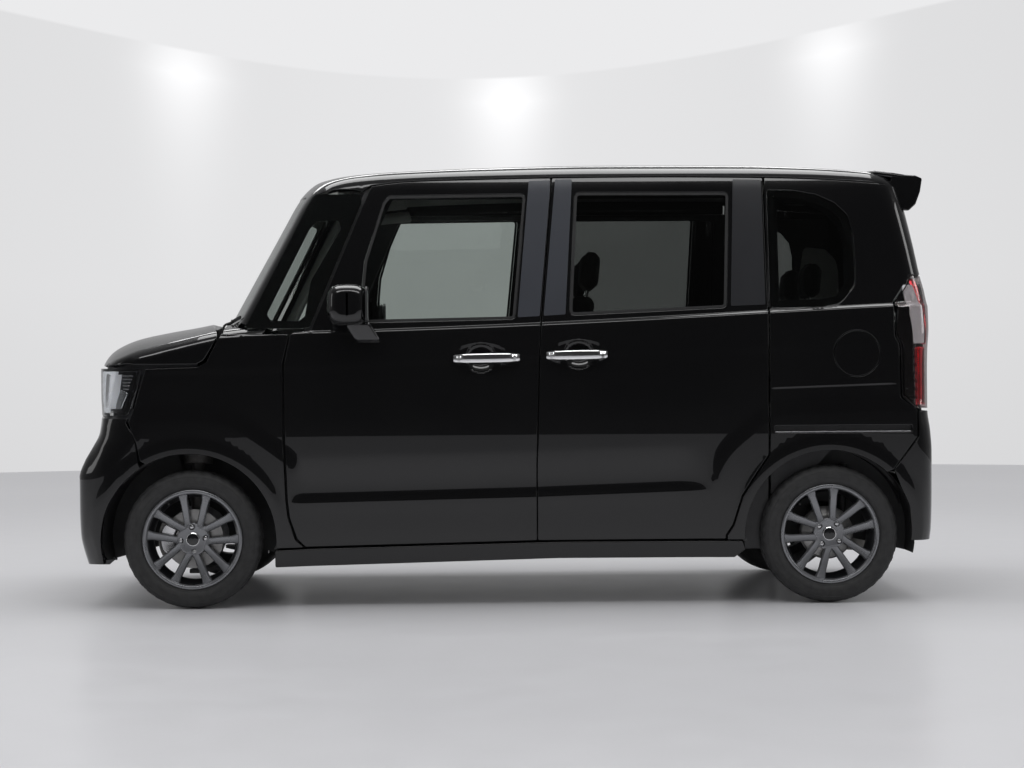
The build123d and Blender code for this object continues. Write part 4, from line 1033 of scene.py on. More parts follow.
# rubber round each window and satin strips on the pillars
SEAL = [(0, 0, 0), (0, 6.0, 90), (0, 6.0, 180)]
panel("front_window_seal", inset(F_WIN, 1.0), M["rubber"], DOOR_BODY, holes=[inset(F_WIN, 11)], rings=SEAL, closed=True, depth=1.6, sides=SIDES, step=9)
panel("sliding_window_seal", inset(S_WIN, 1.0), M["rubber"], holes=[inset(S_WIN, 11)], rings=SEAL, closed=True, depth=1.6, sides=SIDES, step=9)
PLATE_R = rim_rings(1.2, flange=3.2, hem=1.0)
STRIP_F = [(47, 1140), (134, 1144), (181, 1640), (183, 1690), (98, 1688)]
STRIP_S1 = [(150, 1145), (236, 1150), (268, 1650), (270, 1694), (203, 1693), (199, 1650)]
STRIP_S2 = [(893, 1180), (1030, 1184), (1029, 1520), (1029, 1688), (915, 1690)]
panel("front_pillar_strip", rounded(STRIP_F, 5), M["satin"], DOOR_BODY, rings=PLATE_R, depth=-1.6, sides=SIDES, step=20)
panel("centre_pillar_strip", rounded(STRIP_S1, 5), M["satin"], rings=PLATE_R, depth=-1.6, sides=SIDES, step=20)
panel("rear_pillar_strip", rounded(STRIP_S2, 5), M["satin_dark"], rings=PLATE_R, depth=-1.6, sides=SIDES, step=20)

# ---------------------------------------------------------------- rear quarter, with the window, fuel lid and rear lamp recesses
Q_WIN = rounded([(1050, 1171), (1252, 1175), (1330, 1187), (1391, 1262), (1394, 1330), (1389, 1463), (1370, 1543), (1320, 1592), (1248, 1626), (1148, 1644), (1050, 1648)],
                [16, 60, 60, 60, 60, 60, 50, 50, 60, 60, 16], 5)
QUARTER = ([(1040, float(DRIP(1040))), (1040, 1519), (1045, 1162), (1039, 590), (985, 510), (932, 428), (896, 313), (870, 272), (870, 253), (944, 253)]
           + arc(ARCH_R, 183, 47) + [(1530, 527)] + XR([(1626, 657), (1626, 764), (1562, 813), (1558, 1022), (1541, 1056), (1541, 1195), (1610, 1298)])
           + [(u_of_y(float(GATE_Y(z)), z, True), z) for z in (1302, 1400, 1500, 1560, 1610, 1655)] + XR([(1590, 1660)]) + drip_run(1560, 1050))
RAIL = rounded([(1058, 674), (1604, 674), (1604, 704), (1058, 704)], 8, 3)
LID = [(1389 + 92.5 * math.cos(a), 988 + 92.5 * math.sin(a)) for a in np.linspace(0, 2 * math.pi, 72, endpoint=False)]
SIDE_RINGS = rim_rings(2.6, deep=50.0, step=9.0, skin=9.0)
panel("rear_quarter", inset(rounded(QUARTER, 5, 3), GAP * 0.7), M["paint"], holes=[inset(Q_WIN, -0.5), XR(RAIL)], rings=SIDE_RINGS, closed=True, sides=(True,), names=None,
      replaces=("body_side_right",), step=21, edge_step=20, back_step=80, follow=True)[0].name = "rear_quarter_right"
panel("rear_quarter_left", inset(rounded(QUARTER, 5, 3), GAP * 0.7), M["paint"], holes=[inset(Q_WIN, -0.5), LID, XR(RAIL)], rings=SIDE_RINGS, closed=True, replaces=("body_side_left",), step=21, edge_step=20, back_step=80, follow=True)
LID_IN = [(1389 + 90 * math.cos(a), 988 + 90 * math.sin(a)) for a in np.linspace(0, 2 * math.pi, 72, endpoint=False)]
panel("fuel_lid_skin", LID_IN, M["paint"], "fuel_lid", rings=rim_rings(2.0, flange=9.0, hem=2.0), closed=True, step=12, replaces=("fuel_lid",))
panel("quarter_pane", inset(Q_WIN, 1.0), M["privacy"], rings=THIN, closed=True, depth=2.0, sides=SIDES, step=26, back_step=26, replaces={False: ("quarter_glass",), True: ("quarter_glass",)})
panel("quarter_seal", inset(Q_WIN, 3.0), M["rubber"], holes=[inset(Q_WIN, 30)], rings=SEAL, closed=True, depth=7.0, sides=SIDES, step=14)

panel("slide_rail", XR(inset(RAIL, -6)), M["trim"], rings=[(0, 0, 0), (0, 3, 90), (0, 3, 180)], closed=True, depth=20.0, sides=SIDES, step=14)
panel("slide_rail_lip", XR([(1062, 677), (1600, 677), (1600, 681), (1062, 681)]), M["satin_chrome"], rings=[(0, 0, 0), (0, 12, 90), (0, 12, 180)], closed=True, depth=6.0, sides=SIDES, step=14)
# ---------------------------------------------------------------- sill skirt
SK = [(-917, 229), (-760, 234), (204, 253), (932, 251), (944, 214), (900, 182), (203, 184), (-917, 158)]
panel("skirt", inset(rounded(SK, 8), 1.5), M["paint"], rings=rim_rings(4.0, deep=44.0, step=6.0, skin=12.0), closed=True, depth=-2.0, sides=SIDES, step=32, edge_step=34, back_step=70,
      replaces={False: ("side_skirts",), True: ("side_skirts",)})

# ---------------------------------------------------------------- wing
WING = ([(-1439, 583), (-1484, 736), (-1470, 778), (-1418, 948), (-1212, 954), (-1180, 972), (-1122, 1084), (-852, 1080), (-880, 962), (-880, 700), (-870, 430), (-862, 357), (-834, 270), (-803, 243), (-806, 236), (-912, 234)]
        + arc(ARCH_F, -6, 118.5))
panel("wing", inset(rounded([(u_of_x(x, z), z) for x, z in WING], 6, 3), GAP * 0.8), M["paint"], rings=SIDE_RINGS, closed=True, sides=SIDES, step=18, edge_step=15, follow=True,
      replaces={False: ("front_fenders",), True: ("front_fenders",)})
shelf = [(-1118, -560, 1100), (-1118, -640, 1096), (-1118, -718, 1066), (-1040, -722, 1074), (-960, -724, 1078), (-960, -640, 1098), (-960, -560, 1110)]
panel("wing_top", dense(rounded(bonnet_inv(shelf), 3), 10), M["paint"], point=bonnet_point, rings=rim_rings(2.0, flange=14.0, hem=2.0), sides=SIDES, step=14)

# ---------------------------------------------------------------- roof with its side rails and screen pillars
side_out = [cab_side(x, z) for x, z in [(-1046, 1093), (-1020, 1110), (-900, 1355), (-764, 1636), (-752, 1646), (-566, 1650), (-545, 1664)] + drip_run(-531, 1560, 30, 1.5)]
rear_ear = [(1601, -560, 1664), (1560, -556, 1690), (1520, -553, 1712), (1471, -552, 1722), (1471, -400, 1735), (1471, -200, 1741), (1471, 0, 1743)]
foot = [(float(XF(1093)) + 105 * 0.9, -640, 1093)]
screen_edge = [(float(XF(z)) + float(SF(z)) * (y / (float(W_UP(z)) - 45)) ** 2, y, z) for y, z in
               [(-640, 1096), (-627, 1180), (-608, 1300), (-588, 1430), (-568, 1560), (-560, 1612), (-540, 1632), (-420, 1641), (-250, 1648), (-100, 1652), (0, 1653)]]
half = screen_edge[::-1] + foot + [(-1085, -690, 1093)] + side_out + rear_ear
hp = roof_inv(half)
full = hp + [(a, -b) for a, b in hp[::-1]]
clean = []
for p in full:
    if not clean or math.hypot(p[0] - clean[-1][0], p[1] - clean[-1][1]) > 1.0:
        clean.append(p)
panel("roof_shell", rounded(clean, 4, 2), M["paint"], point=roof_point, rings=rim_rings(2.6, flange=22.0, hem=10.0), closed=False, step=28, edge_step=16, replaces=("roof_panel",))

# ---------------------------------------------------------------- windscreen and the small front side windows
SCREEN = [(-637, 1100), (-624, 1180), (-605, 1300), (-585, 1430), (-565, 1560), (-557, 1611), (-538, 1629), (-420, 1638), (-250, 1645), (-100, 1649), (0, 1650)]
SCREEN = SCREEN + [(-y, z) for y, z in SCREEN[::-1][1:]]
panel("windscreen_pane", rounded(SCREEN, 10, 3), M["glass"], point=screen_point, rings=[(0, 0, 0), (0, 5, 90), (0, 5, 180)], closed=True, depth=2.5, step=30, back_step=30, replaces=("windscreen",))
band = inset(rounded(SCREEN, 10, 3), 2)
hole = [(-568, 1150), (-556, 1230), (-540, 1350), (-520, 1480), (-503, 1575), (-480, 1590), (-200, 1606), (-75, 1608), (-60, 1570), (60, 1570), (75, 1608), (200, 1606), (480, 1590), (503, 1575), (520, 1480), (540, 1350), (556, 1230), (568, 1150), (300, 1142), (0, 1138), (-300, 1142)]
panel("windscreen_border", band, M["gloss_trim"], point=screen_point, holes=[rounded(hole, 18, 4)], rings=[(0, 0, 0), (0, 2, 90), (0, 2, 180)], closed=True, depth=8.0, step=26, edge_step=18)
FQ = rounded([(-1034, 1100), (-806, 1100), (-772, 1104), (-567, 1600), (-570, 1641), (-752, 1642), (-768, 1628)], [14, 12, 12, 20, 12, 12, 14], 4)
FQ_CLEAR = rounded([(-944, 1158), (-924, 1134), (-817, 1131), (-792, 1150), (-770, 1290), (-650, 1500), (-660, 1534), (-748, 1530), (-775, 1500)], [22, 14, 14, 16, 120, 26, 14, 16, 30], 5)
panel("front_quarter_pane", inset(FQ, 1.5), M["glass"], point=lambda u, z: body_point(u, z, False), rings=THIN, closed=True, depth=2.0, sides=SIDES, step=24, back_step=24,
      replaces={False: ("quarter_glass",), True: ("quarter_glass",)})
# pale lining: painted light behind the front quarter glass
panel("front_quarter_lining", inset(FQ, 5), M["pale_trim_painted_light"], holes=[inset(FQ_CLEAR, -2)], point=lambda u, z: body_point(u, z, False), rings=SEAL, closed=True, depth=15.0, sides=SIDES, step=18, edge_step=12)
panel("front_quarter_border", inset(FQ, 4), M["gloss_trim"], holes=[FQ_CLEAR], point=lambda u, z: body_point(u, z, False), rings=SEAL, closed=True, depth=6.6, sides=SIDES, step=16)

# ---------------------------------------------------------------- bonnet
def bline(y):
    return -1214 + (93.0) * (abs(y) / 760.0) ** 2


side_edge = [(-1218, -735, 961), (-1190, -735, 976), (-1162, -735, 1020), (-1134, -728, 1072)]
front_edge = [(float(N_XF(960)) + float(N_SG(960)) * (y / 612.0) ** 2, y, 961) for y in (0, -150, -300, -450, -570)] + [(-1590, -655, 961), (-1560, -690, 961), (-1520, -715, 961), (-1460, -732, 961), (-1400, -736, 961), (-1300, -736, 961)]
rear_edge = [(bline(y) - 2, y, float(BON_P(bline(y))) - 68 * (abs(y) / 735.0) ** 2.6) for y in (-706, -640, -560, -450, -300, -150, 0)]
hb = bonnet_inv(front_edge + side_edge + rear_edge)
fullb = hb + [(a, -b) for a, b in hb[::-1]]
clean = []
for p in fullb:
    if not clean or math.hypot(p[0] - clean[-1][0], p[1] - clean[-1][1]) > 1.0:
        clean.append(p)
if math.hypot(clean[0][0] - clean[-1][0], clean[0][1] - clean[-1][1]) < 1.0:
    clean.pop()
panel("bonnet_skin", inset(rounded(clean, 3, 2), 1.5), M["paint"], "bonnet", point=bonnet_point, rings=rim_rings(3.0, flange=20.0, hem=16.0), closed=True, step=19, edge_step=15, replaces=("bonnet",))

# ---------------------------------------------------------------- bumpers
fb_left = [tf(y=0, z=167), tf(y=300, z=167), tf(y=600, z=170), tf(x=-1560, z=176), tf(x=-1530, z=205)]
fb_left += [tf(x=x, z=z) for x, z in arc(ARCH_F, 192, 122.5, 0, 24)]
fb_left += [tf(x=-1444, z=580), tf(x=-1490, z=735), tf(x=-1482, z=754), tf(x=-1560, z=755), tf(y=600, z=755), tf(y=356, z=756), tf(y=336, z=764), tf(y=0, z=764)]
fb = fb_left + [(-t, z) for t, z in fb_left[::-1]]
clean = []
for p in fb:
    if not clean or math.hypot(p[0] - clean[-1][0], p[1] - clean[-1][1]) > 1.0:
        clean.append(p)
low = [(-430, 302), (430, 302), (462, 438), (-462, 438)]
low = [tf(y=abs(y), z=z, right=y > 0) for y, z in low]
panel("front_bumper_skin", inset(rounded(clean, 5, 3), 1.8), M["paint"], point=full_front, holes=[rounded(low, 26, 5)], rings=rim_rings(3.0, deep=30.0, step=8.0, skin=10.0), closed=True, step=19, edge_step=18, back_step=60, replaces=("front_bumper",))
rb_left = [tr(y=0, z=243), tr(y=400, z=243), tr(y=600, z=243), tr(x=1640, z=243), tr(x=1598, z=243), tr(x=1592, z=380)]
rb_left += [tr(x=x, z=z) for x, z in [(1588, 392), (1560, 452), (1530, 527), (1628, 658), (1628, 760)]]
rb_left += [tr(y=float(GATE_Y(760)) + 4, z=761), tr(y=560, z=600), tr(y=560, z=498), tr(y=552, z=488), tr(y=0, z=488)]
rb = rb_left + [(-t, z) for t, z in rb_left[::-1]]
clean = []
for p in rb:
    if not clean or math.hypot(p[0] - clean[-1][0], p[1] - clean[-1][1]) > 1.0:
        clean.append(p)
panel("rear_bumper_skin", inset(rounded(clean, 5, 3), 1.8), M["paint"], point=full_rear, rings=rim_rings(3.0, deep=24.0, step=6.0, skin=10.0), closed=True, step=19, edge_step=17, back_step=60, replaces=("rear_bumper",))

# ---------------------------------------------------------------- tailgate
GATE_W = rounded([(-500, 1130), (500, 1130), (482, 1300), (454, 1520), (-454, 1520), (-482, 1300)], 30, 5)
tg_left = [tr(y=0, z=496), tr(y=550, z=496), tr(y=562, z=770), tr(y=580, z=802), tr(y=596, z=1240), tr(y=584, z=1400), tr(y=562, z=1560), tr(y=552, z=1650), tr(y=0, z=1652)]
tg = tg_left + [(-t, z) for t, z in tg_left[::-1]]
gw = [tr(y=abs(y), z=z, right=y > 0) for y, z in GATE_W]
clean = []
for p in tg:
    if not clean or math.hypot(p[0] - clean[-1][0], p[1] - clean[-1][1]) > 1.0:
        clean.append(p)
panel("tailgate_skin", inset(rounded(clean, 8, 3), 1.8), M["paint"], "tailgate", point=full_rear, holes=[gw], rings=rim_rings(2.6, deep=54.0, step=14.0, skin=11.0), closed=True, step=20, edge_step=18, back_step=70, replaces=("tailgate",))
panel("tailgate_pane", inset(gw, -10), M["privacy"], "tailgate", point=full_rear, rings=THIN, closed=True, depth=2.5, step=26, back_step=26, replaces=("tailgate_glass",))
top = [(1474, 0, 1743), (1474, -200, 1741), (1474, -400, 1735), (1474, -548, 1722), (1520, -549, 1712), (1560, -550, 1695), (1588, -550, 1668), (1600, -400, 1664), (1606, -200, 1664), (1608, 0, 1664)]
ht = roof_inv(top)
ht = ht + [(a, -b) for a, b in ht[::-1]]
clean = []
for p in ht:
    if not clean or math.hypot(p[0] - clean[-1][0], p[1] - clean[-1][1]) > 1.0:
        clean.append(p)
if math.hypot(clean[0][0] - clean[-1][0], clean[0][1] - clean[-1][1]) < 1.0:
    clean.pop()
panel("tailgate_top", rounded(clean, 3, 2), M["paint"], "tailgate", point=roof_point, rings=rim_rings(2.0, flange=20.0, hem=8.0), closed=True, step=17)


# ============================================================ wheels and tyres
WY, HZ = 652.5, 273.0
AXLES = {"front": -1240.0, "rear": 1280.0}


def flat_point(x0, y0, z0, dish=None):
    def f(a, b):
        a, b = np.broadcast_arrays(np.asarray(a, float), np.asarray(b, float))
        y = np.full(a.shape, float(y0))
        if dish is not None:
            y = y + dish(np.hypot(a, b))
        return np.stack([x0 + a, y, z0 + b], -1)
    return f


def ring_pts(r, n=48, cx=0.0, cz=0.0):
    return [(cx + r * math.cos(2 * math.pi * k / n), cz + r * math.sin(2 * math.pi * k / n)) for k in range(n)]


def merge(obs, name):
    """Joins meshes that ride together into one object."""
    first = obs[0]
    me = first.data
    bm = bmesh.new()
    mats = []
    for o in obs:
        base = len(mats)
        for mt in o.data.materials:
            mats.append(mt)
        t = o.data.copy()
        t.polygons.foreach_set("material_index", [p.material_index + base for p in t.polygons])
        bm.from_mesh(t)
    bm.to_mesh(me)
    bm.free()
    me.materials.clear()
    for mt in mats:
        me.materials.append(mt)
    for o in obs[1:]:
        bpy.data.objects.remove(o)
    first.name = name
    return first


def spoke(name, x, ang, side, body, mirror):
    """One spoke of a pair: a bevelled bar that leans away from its partner and flares at the rim."""
    n = 16
    V = []
    ca, sa = math.cos(ang), math.sin(ang)
    for i in range(n + 1):
        t = i / n
        a = 40 + 144 * t
        bb = side * (21.5 + 28.0 * t ** 1.1)
        w = 12.6 + 3.4 * t + 6.5 * sstep(0.74, 1.0, t) + 4.0 * (1 - sstep(0.0, 0.22, t))
        top = -(WY + 45.0 + 7.0 * sstep(0.05, 0.9, t) - 2.5 * math.sin(math.pi * t))
        sec = [(-w, 26), (-w - 0.6, 9), (-w + 1.2, 3.2), (-w + 4.2, 0.2), (-w * 0.35, 0.7), (w * 0.35, 0.7), (w - 4.2, 0.2), (w - 1.2, 3.2), (w + 0.6, 9), (w, 26)]
        dirx, dirb = 1.0, side * 29.0 / 144
        L = math.hypot(dirx, dirb)
        nx, nb = -dirb / L, dirx / L
        for s, d in sec:
            pa, pb = a + nx * s, bb + nb * s
            V.append((x + pa * ca - pb * sa, top + d, HZ + pa * sa + pb * ca))
    m = 10
    F = []
    for i in range(n):
        for k in range(m):
            l = (k + 1) % m
            F.append((i * m + k, (i + 1) * m + k, (i + 1) * m + l, i * m + l))
    F.append(tuple(range(m)))
    F.append(tuple(n * m + k for k in range(m))[::-1])
    ob = build(name, V, F, M["alloy"], body, mirror=mirror, autosmooth=32)
    bm = bmesh.new()
    bm.from_mesh(ob.data)
    bmesh.ops.recalc_face_normals(bm, faces=bm.faces)
    bm.to_mesh(ob.data)
    bm.free()
    return ob


def hexnut(name, x, z, y, body, mirror):
    V, F = [], []
    n = 24
    for rad, dy, kind in [(0.01, -1.2, 1), (5.4, -1.0, 1), (8.0, 0.6, 1), (9.4, 3.2, 0), (9.7, 12, 0), (11.4, 13.0, 1), (11.8, 17, 1)]:
        for k in range(n):
            a = 2 * math.pi * k / n
            r = rad
            if kind == 0:
                q = (a % (math.pi / 3)) - math.pi / 6
                r = rad * 0.93 / math.cos(q)
            V.append((x + r * math.cos(a), y + dy, z + r * math.sin(a)))
    for i in range(6):
        for k in range(n):
            l = (k + 1) % n
            F.append((i * n + k, i * n + l, (i + 1) * n + l, (i + 1) * n + k))
    ob = build(name, V, F, M["satin_chrome"], body, mirror=mirror, autosmooth=30)
    return ob


def tyre_mesh(name, x, body, mirror, node):
    prof = [(193, -57.5), (199, -63.5), (203, -68), (205, -70.5), (207, -70.6), (208.5, -72), (214, -74.5), (222, -76.6), (224, -76.7), (224.6, -77.4), (226, -77.4), (226.6, -76.9), (232, -77.3), (238, -77.3), (243, -76.7),
            (247, -75.6), (247.8, -76.3), (249.4, -75.8), (250, -74.6), (254, -72.6), (258, -70), (262, -66.4), (265.4, -62.2), (267.6, -58.0), (269.4, -53), (270.4, -48), (271.0, -43), (271.4, -37.5), (271.5, -35.4), (265, -34.4), (265, -29.2), (271.9, -28.2),
            (272.4, -20), (272.6, -13), (272.6, -10.6), (265.6, -9.6), (265.6, -4.6), (272.8, -3.6), (273.0, 0)]
    prof = prof + [(r, -y) for r, y in prof[::-1][1:]] + [(190, 52), (186, 40), (186, -40), (190, -52)]
    prof = np.array(prof)
    m, n = len(prof), 120
    r0, y0 = prof[:, 0], prof[:, 1]
    ay = np.abs(y0)
    V = np.zeros((n, m, 3))
    for i in range(n):
        a = 2 * math.pi * i / n
        r = r0.copy()
        if i % 3 == 0:
            sh = ((ay > 37.3) & (ay < 68.5) & (r0 > 255))
            r = np.where(sh, r - 4.0 * np.clip((70.5 - ay) / 6.0, 0, 1), r)
        if (i + 1) % 3 == 0:
            sh = ((ay > 11) & (ay < 28.4) & (r0 > 268))
            r = np.where(sh, r - 2.6, r)
        V[i, :, 0] = r * math.cos(a)
        V[i, :, 2] = r * math.sin(a)
        V[i, :, 1] = y0
    V = V.reshape(-1, 3) + np.array([x, -WY, HZ])
    F = []
    for i in range(n):
        j = (i + 1) % n
        for k in range(m):
            l = (k + 1) % m
            F.append((i * m + k, i * m + l, j * m + l, j * m + k))
    ob = build(name, V, F, M["tyre"], body, mirror=mirror, replaces=(node,), autosmooth=28)
    bm = bmesh.new()
    bm.from_mesh(ob.data)
    bmesh.ops.recalc_face_normals(bm, faces=bm.faces)
    bm.to_mesh(ob.data)
    bm.free()
    ob.data.set_sharp_from_angle(angle=math.radians(28))
    return ob


def road_wheel(end, mirror):
    x = AXLES[end]
    sd = "right" if mirror else "left"
    body = f"{end}_{sd}_wheel"
    node = f"wheel_{end}_{sd}"
    tag = f"{end}_{sd}"
    pair0 = math.radians(87.2 if end == "front" else 99.0)
    nut0 = math.radians(94.8 if end == "front" else 53.0)
    y0 = -WY
    barrel = lathe("rim_" + tag, [(193, y0 - 57), (195.5, y0 - 60), (195, y0 - 64), (191.5, y0 - 66), (186, y0 - 65.5), (183, y0 - 62.5), (182, y0 - 57), (179, y0 - 53), (177.5, y0 - 40), (176, y0 - 20), (166, y0 + 2), (162, y0 + 34),
                                  (168, y0 + 56), (182, y0 + 60), (190, y0 + 63), (193, y0 + 60), (188, y0 + 52), (176, y0 + 46), (170, y0 + 34), (172, y0 + 4), (182, y0 - 20), (185, y0 - 44), (190, y0 - 50)],
                   M["alloy_dark"], (x, 0, HZ), n=96, body=body, mirror=mirror, replaces=(node,), smooth=40)
    lip = lathe("rim_lip_" + tag, [(178.6, y0 - 54.5), (180.2, y0 - 58.5), (182.6, y0 - 64.2), (186.0, y0 - 66.8), (191.8, y0 - 67.3), (195.6, y0 - 65.0), (196.3, y0 - 60), (194, y0 - 57), (186, y0 - 52)],
                M["alloy"], (x, 0, HZ), n=96, body=body, mirror=mirror, smooth=40)
    parts = []
    for k in range(5):
        for s in (-1, 1):
            parts.append(spoke(f"spoke_{tag}_{k}_{s}", x, pair0 + 2 * math.pi * k / 5, s, body, mirror))
    nut_c = [(50 * math.cos(nut0 + math.pi / 2 * k), 50 * math.sin(nut0 + math.pi / 2 * k)) for k in range(4)]
    hub_out = []
    for i in range(160):
        a = 2 * math.pi * i / 160
        r = 59.0 + 5.0 * math.cos(5 * (a - pair0)) + 2.0 * math.cos(4 * (a - nut0))
        hub_out.append((r * math.cos(a), r * math.sin(a)))
    hub = panel("hub_" + tag, hub_out, M["alloy"], body, holes=[ring_pts(12.2, 28, cx, cz) for cx, cz in nut_c] + [ring_pts(27, 40)],
                rings=[(-4, 0, 0), (-1.8, 0.8, 35), (-0.4, 2.8, 65), (0, 6, 88), (1, 24, 90)], hole_rings=[(-1.5, 0, 0), (-0.4, 0.5, 45), (0, 1.6, 88), (0, 18, 90)],
                point=flat_point(x, y0 - 46.5, HZ, lambda r: -1.6 * sstep(28, 60, r)), step=7, edge_step=4, sides=(mirror,))[0]
    for i, (cx, cz) in enumerate(nut_c):
        parts.append(hexnut(f"nut_{tag}_{i}", x + cx, HZ + cz, y0 - 45.5, body, mirror))
    parts.append(lathe(f"nut_seat_{tag}", [(0.5, y0 - 29), (64, y0 - 29), (64, y0 - 20), (0.5, y0 - 20)], M["alloy_dark"], (x, 0, HZ), n=48, body=body, mirror=mirror))
    cap = lathe("cap_" + tag, [(0.2, y0 - 50.8), (10, y0 - 50.6), (18, y0 - 49.9), (22.4, y0 - 48.9), (23, y0 - 47), (23, y0 - 30), (0.2, y0 - 30)], M["gloss_trim"], (x, 0, HZ), n=64, body=body, mirror=mirror)
    capring = lathe("cap_ring_" + tag, [(22.6, y0 - 47.5), (23.2, y0 - 50.4), (24.6, y0 - 51.6), (26.2, y0 - 50.6), (27.2, y0 - 48), (27.2, y0 - 30), (22.6, y0 - 30)], M["chrome"], (x, 0, HZ), n=64, body=body, mirror=mirror)
    if end == "front":
        disc = lathe("brake_disc_" + tag, [(64, -662), (70, -662.5), (116, -662.5), (117, -661.5), (117, -656.6), (114, -656), (114, -653.4), (117, -653), (117, -650.5), (116, -649.5), (70, -649.5), (64, -650)], M["disc"], (x, 0, HZ), n=72, body=body, mirror=mirror)
        bell = lathe("brake_bell_" + tag, [(0.5, -677), (58, -677), (63, -674), (64.5, -668), (64.5, -650), (58, -650), (56, -668), (0.5, -670)], M["drum"], (x, 0, HZ), n=72, body=body, mirror=mirror)
    else:
        disc = lathe("brake_drum_" + tag, [(0.5, -659), (60, -659), (74, -657), (80, -652), (97, -650), (103, -645), (104, -637), (106, -636), (106, -628), (104, -627), (104, -600), (100, -597), (0.5, -597)], M["disc"], (x, 0, HZ), n=72, body=body, mirror=mirror)
        bell = lathe("drum_hub_" + tag, [(0.5, -677), (40, -677), (44, -674), (46, -660), (0.5, -657)], M["drum"], (x, 0, HZ), n=72, body=body, mirror=mirror)
    merge(parts[:10] + [hub], "spokes_" + tag)
    merge(parts[10:14], "wheel_nuts_" + tag)
    tyre_mesh("road_tyre_" + tag, x, body, mirror, f"tyre_{end}_{sd}")
    # valve
    va = pair0 + math.radians(36)
    lathe("valve_" + tag, [(0.2, -WY - 61), (3.6, -WY - 60.5), (4.2, -WY - 57), (4.2, -WY - 42), (0.2, -WY - 42)], M["rubber"], (x + 168 * math.cos(va), 0, HZ + 168 * math.sin(va)), n=16, body=body, mirror=mirror)


for end in ("front", "rear"):
    for mirror in (False, True):
        road_wheel(end, mirror)
# front brake callipers ride on the knuckles
for mirror in (False, True):
    sd = "right" if mirror else "left"
    V, F = [], []
    n = 18
    sec = [(76, -636), (126, -636), (132, -640), (133, -668), (128, -674), (84, -674), (76, -669), (74, -666), (119, -666), (119, -646), (76, -646)]
    for i in range(n + 1):
        a = math.radians(153 + 54 * i / n)
        sc = 1 - 0.05 * (abs(i - n / 2) / (n / 2)) ** 4
        for r, y in sec:
            V.append((-1240 + r * sc * math.cos(a), y, HZ + r * sc * math.sin(a)))
    m = len(sec)
    for i in range(n):
        for k in range(m):
            l = (k + 1) % m
            F.append((i * m + k, i * m + l, (i + 1) * m + l, (i + 1) * m + k))
    F.append(tuple(range(m)))
    F.append(tuple(n * m + k for k in range(m))[::-1])
    ob = build("calliper_" + sd, V, F, M["satin_chrome"], "knuckle_" + sd, mirror=mirror, autosmooth=35)
    bm = bmesh.new()
    bm.from_mesh(ob.data)
    bmesh.ops.recalc_face_normals(bm, faces=bm.faces)
    bm.to_mesh(ob.data)
    bm.free()

# ============================================================ wheel-arch liners and lips
for (cx, cz, r), nm in ((ARCH_F, "front"), (ARCH_R, "rear")):
    V, F = [], []
    a0, a1, n = (-13, 195 if nm == 'front' else 190, 66)
    ys = [-722, -700, -640, -560, -430 if nm == "front" else -540]
    rows = [(r + 5, ys[0]), (r + 7, ys[1]), (r + 10, ys[2]), (r + 11, ys[3]), (r + 8, ys[4]), (r * 0.36, ys[4] + 4)]
    for i in range(n + 1):
        a = math.radians(a0 + (a1 - a0) * i / n)
        for rr, y in rows:
            q = rr + (1.2 if i % 6 < 3 else 0)
            V.append((cx + q * math.cos(a), y, cz + q * math.sin(a)))
    m = len(rows)
    for i in range(n):
        mid = a0 + (a1 - a0) * (i + 0.5) / n
        for k in range(m - 1):
            if nm == "front" and 1 < k < 5 and abs(mid - 88) < 15:
                continue
            F.append((i * m + k, i * m + k + 1, (i + 1) * m + k + 1, (i + 1) * m + k))
    for mirror in (False, True):
        build(f"arch_liner_{nm}_" + ("right" if mirror else "left"), V, F, M["under"], mirror=mirror, autosmooth=40)

# ============================================================ door handles
for nm, x0, x1, zc, zs, bods in (("front_handle", -207, 53, 979, 1.5, DOOR_BODY), ("slide_handle", 159, 399, 989, 1.5, ("car_body", "car_body"))):
    back_end = nm == "front_handle"
    xs = np.linspace(0, 1, 33)
    path, prof_s = [], []
    for t in xs:
        x = x0 + (x1 - x0) * t
        lift = 31 * (sstep(0.0, 0.16, t) * (1 - sstep(0.84, 1.0, t)))
        path.append((x, -float(width(x, zc)) - 3 - lift, zc + zs * (2 * t - 1)))
    for mirror in SIDES:
        sd = "right" if mirror else "left"
        n, m = len(path), 20
        V = []
        for i, (x, y, z) in enumerate(path):
            t = i / (n - 1)
            hz = 18.5 * (0.80 + 0.20 * math.sin(math.pi * min(1, max(0, t))) ** 0.5) * (0.86 if (t < 0.02 or t > 0.98) else 1)
            hy = 7.5
            for k in range(m):
                a = 2 * math.pi * k / m
                c, s = math.cos(a), math.sin(a)
                V.append((x, y + hy * np.sign(c) * abs(c) ** 0.7, z + hz * np.sign(s) * abs(s) ** 0.62))
        F = []
        for i in range(n - 1):
            for k in range(m):
                l = (k + 1) % m
                F.append((i * m + k, i * m + l, (i + 1) * m + l, (i + 1) * m + k))
        F += [tuple(range(m)), tuple((n - 1) * m + k for k in range(m))[::-1]]
        bod = bods[1 if mirror else 0]
        ob = build(f"{nm}_{sd}", V, F, M["chrome"], bod, mirror=mirror, autosmooth=50,
                   replaces=(("door_handle_right" if mirror else "door_handle_left") if back_end else "sliding_door_handles",))
        bm = bmesh.new()
        bm.from_mesh(ob.data)
        bmesh.ops.recalc_face_normals(bm, faces=bm.faces)
        bm.to_mesh(ob.data)
        bm.free()
        # a small key or push spot at one end of the grip
        xe = x1 - 17 if back_end else x0 + 17
        yb = -float(width(xe, zc)) - 35.6
        lathe(f"{nm}_spot_{sd}", [(0.2, yb - 0.8), (4.2, yb - 0.6), (5.2, yb + 0.2), (5.2, yb + 2), (0.2, yb + 2)], M["gloss_trim"], (xe - (14 if back_end else -14), 0, zc + 1), n=28, body=bod, mirror=mirror)

